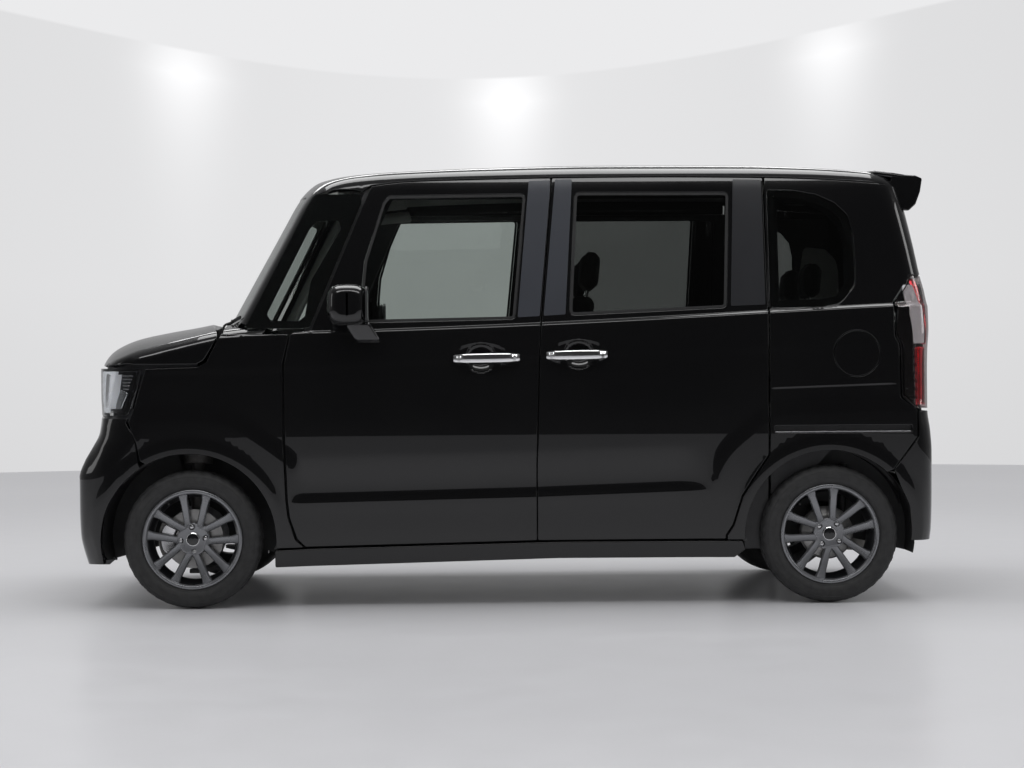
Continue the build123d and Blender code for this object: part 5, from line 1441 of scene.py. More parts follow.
# ============================================================ door mirrors
for mirror in SIDES:
    sd = "right" if mirror else "left"
    bod = DOOR_BODY[1 if mirror else 0]

    def housing(V):
        c = np.array([-618.0, -832.0, 1189.0])
        h = np.array([80.0, 76.0, 81.0])
        q = (V - c) / h
        nrm = (np.abs(q) ** 3.4).sum(1) ** (1 / 3.4)
        q = q / np.maximum(nrm, 1e-6)[:, None]
        V = c + q * h
        t = (V[:, 1] + 832) / -76.0
        V[:, 0] += np.where(q[:, 0] < 0, 10 * t, -4 * t)
        V[:, 2] = 1189 + (V[:, 2] - 1189) * (1 - 0.10 * np.clip(t, 0, 1) ** 2)
        V[:, 0] = np.where(V[:, 0] > -548, -548 + (V[:, 0] + 548) * 0.25, V[:, 0])
        V[:, 1] = np.maximum(V[:, 1], -903.0)
        return V

    rbox("mirror_shell_" + sd, (-698, -908, 1109), (-538, -756, 1269), M["paint"], r=30, body=bod, seg=6, shape=housing, cuts=(14, 14, 14), mirror=mirror,
         replaces=("door_mirror_" + sd,))
    gp = rounded([(-62, -64), (58, -60), (60, 62), (-58, 64)], 26, 6)
    panel("mirror_glass_" + sd, gp, M["mirror"], bod, point=lambda a, b: np.stack([np.full(np.broadcast(a, b).shape, -539.5), -832 + a + 0 * b, 1189 + b + 0 * a], -1), rings=[(0, 0, 0), (0, 2, 90), (0, 2, 180)], closed=True, step=20, sides=(mirror,))
    panel("mirror_frame_" + sd, rounded([(-68, -70), (64, -66), (66, 68), (-64, 70)], 30, 6), M["trim"], bod, holes=[rounded([(-61, -63), (57, -59), (59, 61), (-57, 63)], 25, 6)],
          point=lambda a, b: np.stack([np.full(np.broadcast(a, b).shape, -537.0), -832 + a + 0 * b, 1189 + b + 0 * a], -1), rings=rim_rings(1.5, flange=8, hem=1), step=9, sides=(mirror,))

    def footshape(V):
        t = np.clip((V[:, 2] - 1050) / 66.0, 0, 1)
        V[:, 1] -= 16 * t
        V[:, 0] = V[:, 0] - 30 * t + 10 * (1 - t)
        return V

    rbox("mirror_foot_" + sd, (-600, -792, 1050), (-500, -716, 1122), M["gloss_trim"], r=12, body=bod, seg=4, shape=footshape, cuts=(4, 4, 4), mirror=mirror)

# ============================================================ head lamps
LZ0, LZ1 = 762, 951
lens_left = [tf(y=356, z=LZ1), tf(y=470, z=LZ1), tf(y=580, z=LZ1), tf(y=640, z=LZ1), tf(x=-1560, z=LZ1), tf(x=-1500, z=LZ1), tf(x=-1432, z=LZ1), tf(x=-1452, z=866), tf(x=-1478, z=784), tf(x=-1490, z=764), tf(x=-1560, z=LZ0), tf(y=580, z=LZ0), tf(y=450, z=LZ0), tf(y=338, z=LZ0)]
lens_right = [(-t, z) for t, z in lens_left]
for sd, lp in (("left", lens_left), ("right", lens_right)):
    sg = 1 if sd == "right" else -1
    outline = rounded(lp, [10, 30, 30, 30, 30, 30, 10, 120, 14, 14, 30, 30, 30, 10], 4)
    panel("headlamp_lens_" + sd, inset(outline, 1.6), M["lens"], point=full_front, rings=[(0, 0, 0), (0, 4.0, 90), (0, 4.0, 180)], closed=True, depth=1.0, step=18, back_step=18, replaces=("headlamps",))
    # black frame inside the lens edge and a deep dark bucket behind it
    panel("headlamp_frame_" + sd, inset(outline, 3), M["gloss_trim"], point=full_front, holes=[inset(outline, 13)], rings=[(0, 0, 0), (0, 60, 90), (0, 60, 180)], hole_rings=[(0, 0, 0), (0, 60, 90), (0, 60, 180)], closed=True, depth=7.0, step=14)
    panel("headlamp_bucket_" + sd, inset(outline, 8), M["satin_dark"], point=full_front, rings=[(0, 0, 0), (0, 4, 90), (0, 4, 180)], closed=True, depth=64.0, step=16)
    # broad bright guide round the corner, narrower towards the foot
    cor = tf(x=-1566, z=860)[0]
    wz = [(LZ1 - 8, 172, 30), (LZ1 - 50, 168, 22), (LZ1 - 100, 160, 10), (LZ1 - 145, 150, -4), (LZ0 + 8, 140, -14)]
    a = [(sg * (abs(cor) - w0), z) for z, w0, w1 in wz] + [(sg * (abs(cor) + w1), z) for z, w0, w1 in wz[::-1]]
    panel("headlamp_wedge_" + sd, rounded(a, 6, 3), M["lamp_bright"], point=full_front, rings=[(-4, 0, 0), (-1.5, 1.2, 45), (0, 4, 85), (0, 42, 90)], depth=8.0, step=12)
    panel("headlamp_wedge_core_" + sd, rounded([(sg * (abs(cor) - 20), LZ1 - 22), (sg * (abs(cor) + 4), LZ1 - 24), (sg * (abs(cor) - 12), LZ0 + 34), (sg * (abs(cor) - 34), LZ0 + 32)], 5, 3), M["silver"], point=full_front, rings=rim_rings(3, flange=8, hem=1), depth=4.5, step=10)
    # stepped satin-chrome side fins behind the clear side part
    for i in range(5):
        z = 920 - i * 13
        a0 = abs(cor) + 52 + i * 1
        a1 = abs(cor) + 96 - i * 5
        panel(f"headlamp_fin_{sd}_{i}", rounded([(sg * a0, z - 3.5), (sg * a1, z - 2.5), (sg * a1, z + 2.5), (sg * a0, z + 3.5)], 2.0, 2), M["satin_chrome"], point=full_front, rings=[(0, 0, 0), (0, 8, 90), (0, 8, 180)], depth=14 + 2 * i, step=8, edge_step=5)
    panel(f"headlamp_side_{sd}", rounded([(sg * (abs(cor) + 2), 776), (sg * (abs(cor) + 40), 786), (sg * (abs(cor) + 74), 852), (sg * (abs(cor) + 40), 866)], 9, 3), M["mirror"], point=full_front, rings=[(-2, 0, 0), (0, 2, 60), (0, 14, 90)], depth=24, step=9)
    # two round lamp units with bowls, set back in the bucket
    for i, yc in enumerate((418, 520)):
        t0 = abs(tf(y=yc, z=860)[0])
        c = full_front(np.array(sg * t0), np.array(860.0))
        xx, yy = float(c[0]) + 22, float(c[1])
        lathe(f"headlamp_bowl_{sd}_{i}", [(46, xx - 6), (44, xx), (36, xx + 12), (22, xx + 22), (8, xx + 26), (0.3, xx + 26), (0.3, xx + 29), (24, xx + 26), (40, xx + 14), (48, xx)], M["silver"], (0, yy, 858), axis="x", n=56)
        lathe(f"headlamp_bulb_{sd}_{i}", [(0.3, xx - 4), (9, xx - 2), (16, xx + 3), (21, xx + 11), (21.5, xx + 16), (0.3, xx + 18)], M["lens"], (0, yy, 858), axis="x", n=40)
        lathe(f"headlamp_bezel_{sd}_{i}", [(46, xx - 8), (50, xx - 9), (53, xx - 5), (53, xx + 20), (48, xx + 20), (46, xx)], M["satin_chrome"], (0, yy, 858), axis="x", n=56)

# ============================================================ grille, number plate, lower opening
gl = [(-334, 768), (334, 768), (350, 947), (-350, 947)]
go = rounded([tf(y=abs(y), z=z, right=y > 0) for y, z in gl], 8, 3)
panel("grille_back", go, M["trim"], point=full_front, rings=[(0, 0, 0), (0, 6, 90), (0, 6, 180)], closed=True, depth=34, step=26, replaces=("front_grille",))
for i in range(5):
    z = 788 + i * 34
    hw = 336 + 12 * (z - 768) / 180
    b1 = [tf(y=hw, z=z - 8), tf(y=hw, z=z + 8)]
    tl = b1[0][0]
    panel(f"grille_bar_{i}", rounded([(tl, z - 8.5), (-tl, z - 8.5), (-tl, z + 8.5), (tl, z + 8.5)], 3, 2), M["gloss_trim"], point=full_front, rings=rim_rings(4, flange=30, hem=2), depth=6, step=14)
panel("grille_chrome_top", rounded([(tl * 0.995, 936), (-tl * 0.995, 936), (-tl * 0.998, 949), (tl * 0.998, 949)], 4, 2), M["chrome"], point=full_front, rings=rim_rings(3.5, flange=22, hem=2), depth=-0.5, step=12)
panel("grille_chrome_low", rounded([(tl * 0.93, 767), (-tl * 0.93, 767), (-tl * 0.936, 778), (tl * 0.936, 778)], 4, 2), M["chrome"], point=full_front, rings=rim_rings(3.5, flange=22, hem=2), depth=-0.5, step=12)
lo = rounded([tf(y=abs(y), z=z, right=y > 0) for y, z in [(-436, 296), (436, 296), (470, 444), (-470, 444)]], 26, 5)
panel("lower_grille_back", lo, M["trim"], point=full_front, rings=[(0, 0, 0), (0, 5, 90), (0, 5, 180)], closed=True, depth=36, step=30)
for i in range(4):
    z = 322 + i * 30
    t0 = tf(y=428 + (z - 300) * 0.22, z=z)[0]
    panel(f"lower_bar_{i}", rounded([(t0, z - 5), (-t0, z - 5), (-t0, z + 5), (t0, z + 5)], 2.5, 2), M["gloss_trim"], point=full_front, rings=rim_rings(2.5, flange=22, hem=2), depth=10, step=14)


def plate(name, x, zc, facing, mat, body):
    """A blank pressed plate with a raised rim and two bolts."""
    def pt(a, b):
        a, b = np.broadcast_arrays(np.asarray(a, float), np.asarray(b, float))
        e = np.minimum(165 - np.abs(a), 82.5 - np.abs(b))
        bump_ = 1.3 * sstep(1.5, 3.5, e) * (1 - sstep(6.5, 9.0, e))
        return np.stack([np.full(a.shape, x) + facing * bump_, facing * a, zc + b], -1)
    ln = rounded([(-165, -82.5), (165, -82.5), (165, 82.5), (-165, 82.5)], 10, 4)
    ob = panel(name, ln, mat, body, point=pt, rings=[(0, 0, 0), (0, 1.6, 90), (0, 1.6, 180)], closed=True, step=9, edge_step=8, back_step=60)[0]
    bm = bmesh.new()
    bm.from_mesh(ob.data)
    bmesh.ops.recalc_face_normals(bm, faces=bm.faces)
    bm.to_mesh(ob.data)
    bm.free()
    for s in (-105, 105):
        lathe(f"{name}_bolt_{'l' if s < 0 else 'r'}", [(0.2, x + facing * 4.6), (5.5, x + facing * 4.0), (7.2, x + facing * 2.4), (7.4, x), (0.2, x)], M["satin_chrome"], (0, s, zc + 64), axis="x", n=20, body=body)
    return ob


plate("front_number_plate", -1699.0, 560, -1, M["plate"], "car_body")
plate("rear_number_plate", 1703.6, 430, 1, M["plate"], "car_body")

# ============================================================ tail lamps
TL = [tr(x=1543, z=1194), tr(x=1543, z=1057), tr(x=1562, z=1021), tr(x=1566, z=816), tr(x=1629, z=768), tr(y=float(GATE_Y(768)) + 5, z=768), tr(y=float(GATE_Y(802)) + 5, z=802), tr(y=605, z=1000), tr(y=605, z=1240), tr(y=601, z=1298), tr(x=1613, z=1298)]
for sd in ("left", "right"):
    sg = -1 if sd == "left" else 1
    lp = [(sg * abs(t), z) for t, z in TL]
    o = rounded(lp, [8, 14, 20, 14, 10, 6, 10, 60, 60, 6, 14], 4)
    panel("tail_lens_" + sd, inset(o, 1.2), M["tail_clear"], point=full_rear, rings=[(0, 0, 0), (0, 3.5, 90), (0, 3.5, 180)], closed=True, depth=0.5, step=14, back_step=14, replaces=("tail_lamps",))
    panel("tail_back_" + sd, inset(o, 2), M["satin_dark"], point=full_rear, rings=[(0, 0, 0), (0, 6, 90), (0, 6, 180)], closed=True, depth=46, step=16)
    ins = inset(o, 4)
    panel("tail_wall_" + sd, ins, M["gloss_trim"], point=full_rear, holes=[inset(o, 7)], rings=[(0, 0, 0), (0, 38, 90), (0, 38, 180)], hole_rings=[(0, 0, 0), (0, 38, 90), (0, 38, 180)], closed=True, depth=6, step=12)
    tc0 = abs(tr(x=1640, z=1000)[0])
    # smoked inner block on the side, red outer guide, white part above, small stepped ribs below
    smoke = [(sg * (abs(tr(x=1552, z=z)[0]) - 4), z) for z in (1180, 1120, 1062)] + [(sg * (abs(tr(x=1574, z=z)[0]) - 4), z) for z in (1010, 900, 822)] + [(sg * (tc0 + 26), z) for z in (800, 900, 1010, 1062, 1150, 1230)]
    panel("tail_smoke_" + sd, rounded(smoke, 6, 3), M["gloss_trim"], point=full_rear, rings=rim_rings(2, flange=8, hem=1), closed=True, depth=9, step=13)
    for nm_, z0_, z1_, a0_, a1_, mat_ in (("red", 784, 1012, 10, -36, M["tail_red"]), ("edge", 1022, 1284, -37, -58, M["tail_red"]), ("white", 1026, 1262, 26, -34, M["white"])):
        top_in = a0_ - (10 if nm_ == "white" else 0)
        q_ = [(sg * (tc0 + a0_), z0_), (sg * (tc0 + a0_ + (8 if nm_ == "white" else 0)), (z0_ + z1_) / 2), (sg * (tc0 + top_in), z1_), (sg * (tc0 + a1_), z1_), (sg * (tc0 + a1_), z0_)]
        q_ = rounded(q_, 7, 3)
        panel(f"tail_{nm_}_{sd}", q_, mat_, point=full_rear, rings=rim_rings(3.5, flange=13, hem=1), closed=True, depth=6.5, step=12)
        panel(f"tail_{nm_}_back_{sd}", inset(q_, 2), M["silver"], point=full_rear, rings=[(0, 0, 0), (0, 2, 90), (0, 2, 180)], depth=24, step=12)
    for i in range(6):
        z = 812 + i * 32
        panel(f"tail_rib_{sd}_{i}", rounded([(sg * (tc0 + 12), z - 7), (sg * (tc0 + 64 - 0.8 * abs(i - 4)), z - 4), (sg * (tc0 + 64), z + 6), (sg * (tc0 + 12), z + 9)], 3, 2), M["tail_smoke"], point=full_rear, rings=rim_rings(2, flange=9, hem=1), closed=True, depth=3.8, step=10, edge_step=6)

# ============================================================ spoiler
def spoiler_top(a, b):
    """a runs back from the tailgate's top edge, b across."""
    a, b = np.broadcast_arrays(np.asarray(a, float), np.asarray(b, float))
    q = np.clip(np.abs(b) / 585.0, 0, 1)
    x = 1500 + a
    z = 1733 - 0.118 * a - 7 * q * q - 0.00022 * a * a
    return np.stack([x, b, z], -1)


SP = rounded([(-26, -540), (-10, -580), (60, -588), (172, -584), (186, -560), (188, 0), (186, 560), (172, 584), (60, 588), (-10, 580), (-26, 540)], [14, 14, 60, 20, 20, 80, 20, 20, 60, 14, 14], 5)
panel("spoiler_blade", SP, M["paint"], "tailgate", point=lambda a, b: spoiler_top(a, b), rings=[(-7, 0, 0), (-4, 0.8, 25), (-1.6, 3.2, 50), (0, 8, 80), (0, 14, 95), (-3, 20, 130), (-9, 24, 165)], closed=True, step=17, back_step=26, replaces=("rear_spoiler",))


def fin(a, b):
    a, b = np.broadcast_arrays(np.asarray(a, float), np.asarray(b, float))
    return np.stack([a, np.full(a.shape, -586.0) - 0.05 * (b - 1700) + 0.018 * (a - 1600), b], -1)


FIN = rounded([(1556, 1578), (1606, 1566), (1634, 1564), (1662, 1590), (1680, 1640), (1688, 1694), (1660, 1706), (1560, 1712)], [10, 20, 14, 14, 40, 8, 20, 8], 4)
panel("spoiler_fin", FIN, M["paint"], "tailgate", point=fin, rings=[(-6, 0, 0), (-3, 0.8, 25), (-1, 3, 55), (0, 8, 85), (0, 26, 95), (-3, 30, 140)], closed=True, sides=SIDES, step=12)

# ============================================================ wipers and rear wiper
def wiper(name, base, tip, lift, body, up=(0, 0, 1.0)):
    b0, t0 = np.array(base, float), np.array(tip, float)
    d = (t0 - b0)
    pts = [b0 + d * s + np.array(lift) * math.sin(math.pi * min(1, s * 1.15)) for s in np.linspace(0, 1, 15)]
    sweep(name, pts, [(-3.5, -3), (3.5, -3), (4.5, 3), (-4.5, 3)], M["trim"], body, closed=False, up=up)


for i, (yb, yt) in enumerate(((470, -80), (-60, -560))):
    b0 = screen_point(np.array(float(yb)), np.array(1100.0)) + np.array([-26, 0, 14])
    t0 = screen_point(np.array(float(yt)), np.array(1128.0)) + np.array([-14, 0, 8])
    wiper(f"wiper_arm_{i}", b0, t0, (-9, 0, 5), "car_body")
    q0 = screen_point(np.array(float(yt + (yb - yt) * 0.62)), np.array(1112.0)) + np.array([-9, 0, 4])
    q1 = screen_point(np.array(float(yt - (yb - yt) * 0.16)), np.array(1142.0)) + np.array([-9, 0, 4])
    pts = [screen_point(np.array(float(q0[1] + (q1[1] - q0[1]) * s)), np.array(float(q0[2] + (q1[2] - q0[2]) * s))) + np.array([-6.5, 0, 3.0]) for s in np.linspace(0, 1, 22)]
    sweep(f"wiper_blade_{i}", pts, [(-2, -6), (2, -6), (4, 0), (2.5, 7), (-2.5, 7), (-4, 0)], M["rubber"], closed=False)
    lathe(f"wiper_hub_{i}", [(0.2, float(b0[2]) + 12), (8, float(b0[2]) + 11), (13, float(b0[2]) + 6), (15, float(b0[2]) - 14), (0.2, float(b0[2]) - 14)], M["trim"], (float(b0[0]), float(b0[1]), 0), axis="z", n=28)
rp = [full_rear(np.array(float(t)), np.array(1150.0 + 0.02 * t)) + np.array([9.0, 0, 0]) for t in np.linspace(30, 390, 16)]
sweep("rear_wiper_blade", rp, [(-2, -8), (2, -8), (4, 0), (2, 9), (-2, 9), (-4, 0)], M["rubber"], "tailgate", closed=False)
rp = [full_rear(np.array(float(t)), np.array(1092.0 + 56 * s)) + np.array([12.0 + 10 * math.sin(math.pi * s), 0, 0]) for s, t in zip(np.linspace(0, 1, 12), np.linspace(0, 210, 12))]
sweep("rear_wiper_arm", rp, [(-3, -9), (3, -9), (3, 9), (-3, 9)], M["trim"], "tailgate", closed=False)
c0 = full_rear(np.array(0.0), np.array(1092.0))
lathe("rear_wiper_hub", [(0.2, float(c0[0]) + 26), (12, float(c0[0]) + 24), (19, float(c0[0]) + 16), (21, float(c0[0]) - 4), (0.2, float(c0[0]) - 4)], M["trim"], (0, 0, 1092), axis="x", n=36, body="tailgate")

# ============================================================ inner walls, pillars, sills and gaps closed from inside
RING = [(-905, 200), (1045, 200), (1045, 1760), (-505, 1760), (-775, 1130), (-905, 1110)]
R_HOLES = [[(-800, 325), (75, 325), (75, 560), (92, 1056), (140, 1640), (-455, 1640), (-700, 1090), (-800, 960)],
           [(165, 325), (850, 325), (960, 560), (985, 620), (985, 1640), (240, 1640), (190, 1056), (165, 560)]]


def low_point(u, z):
    return body_point(u, np.clip(z, 150, 1700), False)


panel("door_frame_ring", rounded([(-905, 200), (1045, 200), (1045, 1664), (-545, 1664), (-775, 1130), (-905, 1110)], 8), M["paint_in"], holes=[rounded(h, 30, 5) for h in R_HOLES], point=low_point,
      rings=[(-3, 0, 0), (-1, 1, 45), (0, 3, 85), (0, 22, 90), (-3, 25, 160)], hole_rings=[(-3, 0, 0), (-1, 1, 45), (0, 3, 85), (0, 22, 90), (-3, 25, 160)], closed=True, depth=66, sides=SIDES, step=34, back_step=44, edge_step=24)
panel("ring_seal", rounded(R_HOLES[0], 30, 5), M["rubber"], holes=[inset(rounded(R_HOLES[0], 30, 5), 9)], point=low_point, rings=SEAL, closed=True, depth=60, sides=SIDES, step=12, edge_step=24)
panel("ring_seal_rear", rounded(R_HOLES[1], 30, 5), M["rubber"], holes=[inset(rounded(R_HOLES[1], 30, 5), 9)], point=low_point, rings=SEAL, closed=True, depth=60, sides=SIDES, step=12, edge_step=24)
for mirror in SIDES:
    sd = "right" if mirror else "left"
    # pillar between the windscreen and the small side window, seen from inside
    a, b2 = [], []
    for x, z in [(-1060, 1080), (-1010, 1130), (-960, 1240), (-905, 1345), (-850, 1455), (-795, 1560), (-750, 1640), (-690, 1668)]:
        a.append((x + 22, -float(W_UP(min(z, 1640))) + 40, min(z, 1654)))
    # pale pillar trim: painted light where light comes in through the windscreen
    sweep("screen_pillar_trim_" + sd, a, [(-12, -20), (8, -22), (14, -4), (10, 8), (-10, 9), (-14, 0)], M["pale_trim_painted_light"], closed=False, mirror=mirror)
    a = []
    for x, z in [(-770, 1086), (-742, 1150), (-700, 1250), (-655, 1360), (-608, 1470), (-560, 1585), (-526, 1665)]:
        a.append((x - 12, -float(W_UP(min(z, 1640))) + 52, z))
    sweep("door_pillar_trim_" + sd, a, [(-26, -16), (22, -18), (28, 0), (22, 18), (-26, 16), (-30, 0)], M["plastic"], closed=False, mirror=mirror)

# ============================================================ padded seats: crowned forms with bolsters, sewn grooves and piping
def cushion(name, size, place, mat, side_mat, crown, bolster, b_w, grooves=(), splits=(), taper=0.0, nose=0.0, r=34, node=(), cuts=(26, 30, 3), pipe=True, wr=0.9):
    """size is (along, across, thick); place turns local (a, b, c) into the car's millimetres."""
    A, B, C = size
    seed = sum(map(ord, name)) % 97

    def shape(V):
        a, b, c = V[:, 0].copy(), V[:, 1].copy(), V[:, 2].copy()
        top = sstep(-0.1 * C, 0.42 * C, c)
        edge = np.clip(1 - np.abs(b) / (B / 2), 0, 1)
        q = 1 - (np.abs(a) / (A / 2)) ** 3.0
        p_ = 1 - (np.abs(b) / (B / 2)) ** 3.0
        up = crown * np.clip(q, 0, 1) * np.clip(p_, 0, 1)
        if bolster:
            bb = np.abs(b)
            up += bolster * sstep(b_w - 14, b_w + 34, bb) * (1 - 0.5 * sstep(B / 2 - 26, B / 2, bb))
            up -= 9.0 * np.exp(-((bb - b_w) / 6.0) ** 2)
        for g in grooves:
            inn = 1.0 if not bolster else (1 - sstep(b_w - 8, b_w + 2, np.abs(b)))
            up -= 6.5 * np.exp(-((a - g) / 5.0) ** 2) * inn
        for g in splits:
            up -= 11.0 * np.exp(-((b - g) / 6.5) ** 2)
        up += wr * (np.sin(a / 23.0 + seed) * np.sin(b / 31.0 + 2 * seed) + 0.6 * np.sin((a + b) / 13.0 + seed))
        c = c + up * top
        bulge = 5.0 * (1 - np.clip(np.abs(c) / (C / 2), 0, 1) ** 2)
        b = b + np.sign(b) * bulge * (np.abs(b) > B / 2 - 2)
        a = a + np.sign(a) * bulge * (np.abs(a) > A / 2 - 2)
        b = b * (1 - taper * sstep(0.1 * A, 0.5 * A, a))
        c = c - nose * sstep(0.25 * A, 0.5 * A, -a) ** 2 * top
        return place(np.stack([a, b, c], -1))

    ob = rbox(name, (-A / 2, -B / 2, -C / 2), (A / 2, B / 2, C / 2), mat, r=r, seg=5, shape=shape, cuts=cuts, replaces=node)
    bm = bmesh.new()
    bm.from_mesh(ob.data)
    bmesh.ops.triangulate(bm, faces=[f for f in bm.faces if len(f.verts) > 4])
    bmesh.ops.recalc_face_normals(bm, faces=bm.faces)
    bm.to_mesh(ob.data)
    bm.free()
    ob.data.materials.append(side_mat)
    inv = place(np.zeros((1, 3)))[0]
    ax = [place(np.eye(3)[k:k + 1] * 1.0)[0] - inv for k in range(3)]
    for poly in ob.data.polygons:
        p_ = np.array(poly.center) * 1000 - inv
        loc = [float(p_ @ ax[k]) for k in range(3)]
        if loc[2] < 0.20 * C or (bolster and abs(loc[1]) > b_w + 1):
            poly.material_index = 1
    ob.data.polygons.foreach_set("use_smooth", [True] * len(ob.data.polygons))
    if pipe:
        loop = rounded([(-A / 2 + 6, -B / 2 + 6), (A / 2 - 6, -B / 2 + 6), (A / 2 - 6, B / 2 - 6), (-A / 2 + 6, B / 2 - 6)], r * 1.05, 5)
        L = np.array([(x, y, C * 0.22) for x, y in dense(loop, 16)])
        L[:, 1] *= (1 - taper * sstep(0.1 * A, 0.5 * A, L[:, 0]))
        g = np.where(np.abs(L[:, 1]) > B / 2 - 30, 5.0, 0) * np.sign(L[:, 1])
        L[:, 1] += g * 0.9
        L[:, 0] += np.where(np.abs(L[:, 0]) > A / 2 - 30, 5.0, 0) * np.sign(L[:, 0]) * 0.9
        L[:, 1] = L[:, 1] + np.sign(L[:, 1]) * 5.5 * (np.abs(L[:, 1]) > B / 2 - 20)
        L[:, 0] = L[:, 0] + np.sign(L[:, 0]) * 5.5 * (np.abs(L[:, 0]) > A / 2 - 20)
        sweep(name + "_piping", place(L), circle(2.6, 8), M["seat_side"])
    return ob


def tilt(p0, p1, yc, flip=1.0):
    """Local frame for a seat back: a runs up the back, b across, c forward out of the cushion."""
    p0, p1 = np.array(p0, float), np.array(p1, float)
    d = (p1 - p0)
    Ln = float(np.hypot(*d))
    d = d / Ln
    nrm = np.array([-d[1], d[0]])
    mid = (p0 + p1) / 2

    def place(V):
        x = mid[0] + V[:, 0] * d[0] + V[:, 2] * nrm[0]
        z = mid[1] + V[:, 0] * d[1] + V[:, 2] * nrm[1]
        return np.stack([x, yc + V[:, 1], z], -1)
    return place, Ln


for yc, sd in ((-332.0, "left"), (332.0, "right")):
    flat = lambda V, yc=yc: np.stack([-75 + V[:, 0], yc + V[:, 1], 571 + V[:, 2]], -1)
    cushion("front_seat_base_" + sd, (492, 494, 124), flat, M["seat"], M["seat_side"], 14, 17, 168, grooves=(-150, -60, 30, 120), nose=16, node=("front_seat_cushions",))
    place, Ln = tilt((228, 598), (334, 1228), yc)
    cushion("front_seat_back_" + sd, (Ln - 6, 454, 74), place, M["seat"], M["seat_side"], 10, 22, 146, grooves=(-200, -100, 0, 100, 200), taper=0.2, node=("front_seat_backs",), r=30)
    place, Ln = tilt((349, 1266), (363, 1410), yc)
    cushion("front_headrest_" + sd, (Ln, 236, 70), place, M["seat"], M["seat_side"], 9, 0, 0, cuts=(10, 16, 3), r=30, taper=0.08)
    for s in (-55, 55):
        sweep(f"headrest_post_{sd}_{'a' if s < 0 else 'b'}", [(330, yc + s, 1190), (338, yc + s, 1225), (345, yc + s, 1262), (350, yc + s, 1290)], circle(6.5, 14), M["chrome"], closed=False)
    rbox("seat_pedestal_" + sd, (-240, yc - 196, 322), (112, yc + 196, 520), M["plastic"], r=22, seg=3)
    rbox("seat_side_cover_" + sd, (-200, yc + (-262 if yc < 0 else 236), 470), (250, yc + (-236 if yc < 0 else 262), 560), M["plastic"], r=11, seg=3)
    for s in (-150, 150):
        rbox(f"seat_rail_{sd}_{'a' if s < 0 else 'b'}", (-300, yc + s - 16, 312), (160, yc + s + 16, 338), M["steel"], r=4, seg=2)
for yc, sd in ((-250.0, "left"), (250.0, "right")):
    flat = lambda V, yc=yc: np.stack([868 + V[:, 0], yc + V[:, 1], 584 + V[:, 2]], -1)
    cushion("rear_seat_base_" + sd, (446, 492, 118), flat, M["seat"], M["seat_side"], 16, 9, 190, grooves=(-120, -20, 80), nose=12, node=("rear_seat_cushion",))
    place, Ln = tilt((1148, 618), (1270, 1198), yc)
    cushion("rear_seat_back_" + sd, (Ln - 4, 484, 78), place, M["seat"], M["seat_side"], 11, 10, 178, grooves=(-180, -80, 20, 120), taper=0.05, node=("rear_seat_back",), r=30)
    place, Ln = tilt((1280, 1232), (1292, 1362), yc)
    cushion("rear_headrest_" + sd, (Ln, 208, 66), place, M["seat"], M["seat_side"], 8, 0, 0, cuts=(9, 14, 3), r=28, taper=0.06)
    for s in (-48, 48):
        sweep(f"rear_headrest_post_{sd}_{'a' if s < 0 else 'b'}", [(1262, yc + s, 1160), (1270, yc + s, 1196), (1276, yc + s, 1232), (1280, yc + s, 1250)], circle(6, 14), M["chrome"], closed=False)
    rbox("rear_seat_pedestal_" + sd, (710, yc - 226, 356), (1050, yc + 226, 540), M["plastic"], r=20, seg=3)

# ============================================================ cabin: door linings, quarter trims, headliner, dashboard fittings
LN = rounded([(-792, 300), (84, 300), (96, 1096), (-712, 1096), (-806, 960)], 26, 5)


def inner_point(u, z):
    p = low_point(u, z)
    return p


inner_point.inward = True
for nm, ln, bod in (("front_door", LN, DOOR_BODY), ("sliding_door", rounded([(176, 300), (846, 300), (950, 560), (978, 640), (984, 1110), (198, 1110)], 26, 5), "car_body")):
    panel(nm + "_lining", ln, M["plastic"], bod, point=inner_point, rings=[(-4, 0, 0), (-2, 1.2, 40), (0, 4, 90), (0, 9, 90), (0, 9, 180)], closed=True, depth=-62.0, sides=SIDES, step=30, back_step=44, edge_step=20)
    c = np.array(ln).mean(0)
    x0, x1 = min(p[0] for p in ln), max(p[0] for p in ln)
    panel(nm + "_cloth_insert", rounded([(x0 + 110, 690), (x1 - 120, 690), (x1 - 110, 900), (x0 + 130, 900)], 40, 6), M["seat_side"], bod, point=inner_point, rings=rim_rings(3, flange=5, hem=2), depth=-66.5, sides=SIDES, step=16)
    panel(nm + "_pocket", rounded([(x0 + 90, 360), (x1 - 200, 360), (x1 - 190, 500), (x0 + 80, 500)], 34, 6), M["plastic"], bod, point=inner_point, rings=rim_rings(8, flange=22, hem=2), depth=-84.0, sides=SIDES, step=18)
    panel(nm + "_armrest", rounded([(x0 + 150, 640), (x1 - 150, 640), (x1 - 150, 684), (x0 + 150, 684)], 16, 5), M["plastic"], bod, point=inner_point, rings=rim_rings(10, flange=44, hem=2), depth=-106.0, sides=SIDES, step=14)
    panel(nm + "_inner_handle", rounded([(x1 - 250, 930), (x1 - 140, 930), (x1 - 140, 966), (x1 - 250, 966)], 12, 4), M["satin_chrome"], bod, point=inner_point, rings=rim_rings(4, flange=9, hem=2), depth=-70.0, sides=SIDES, step=12)

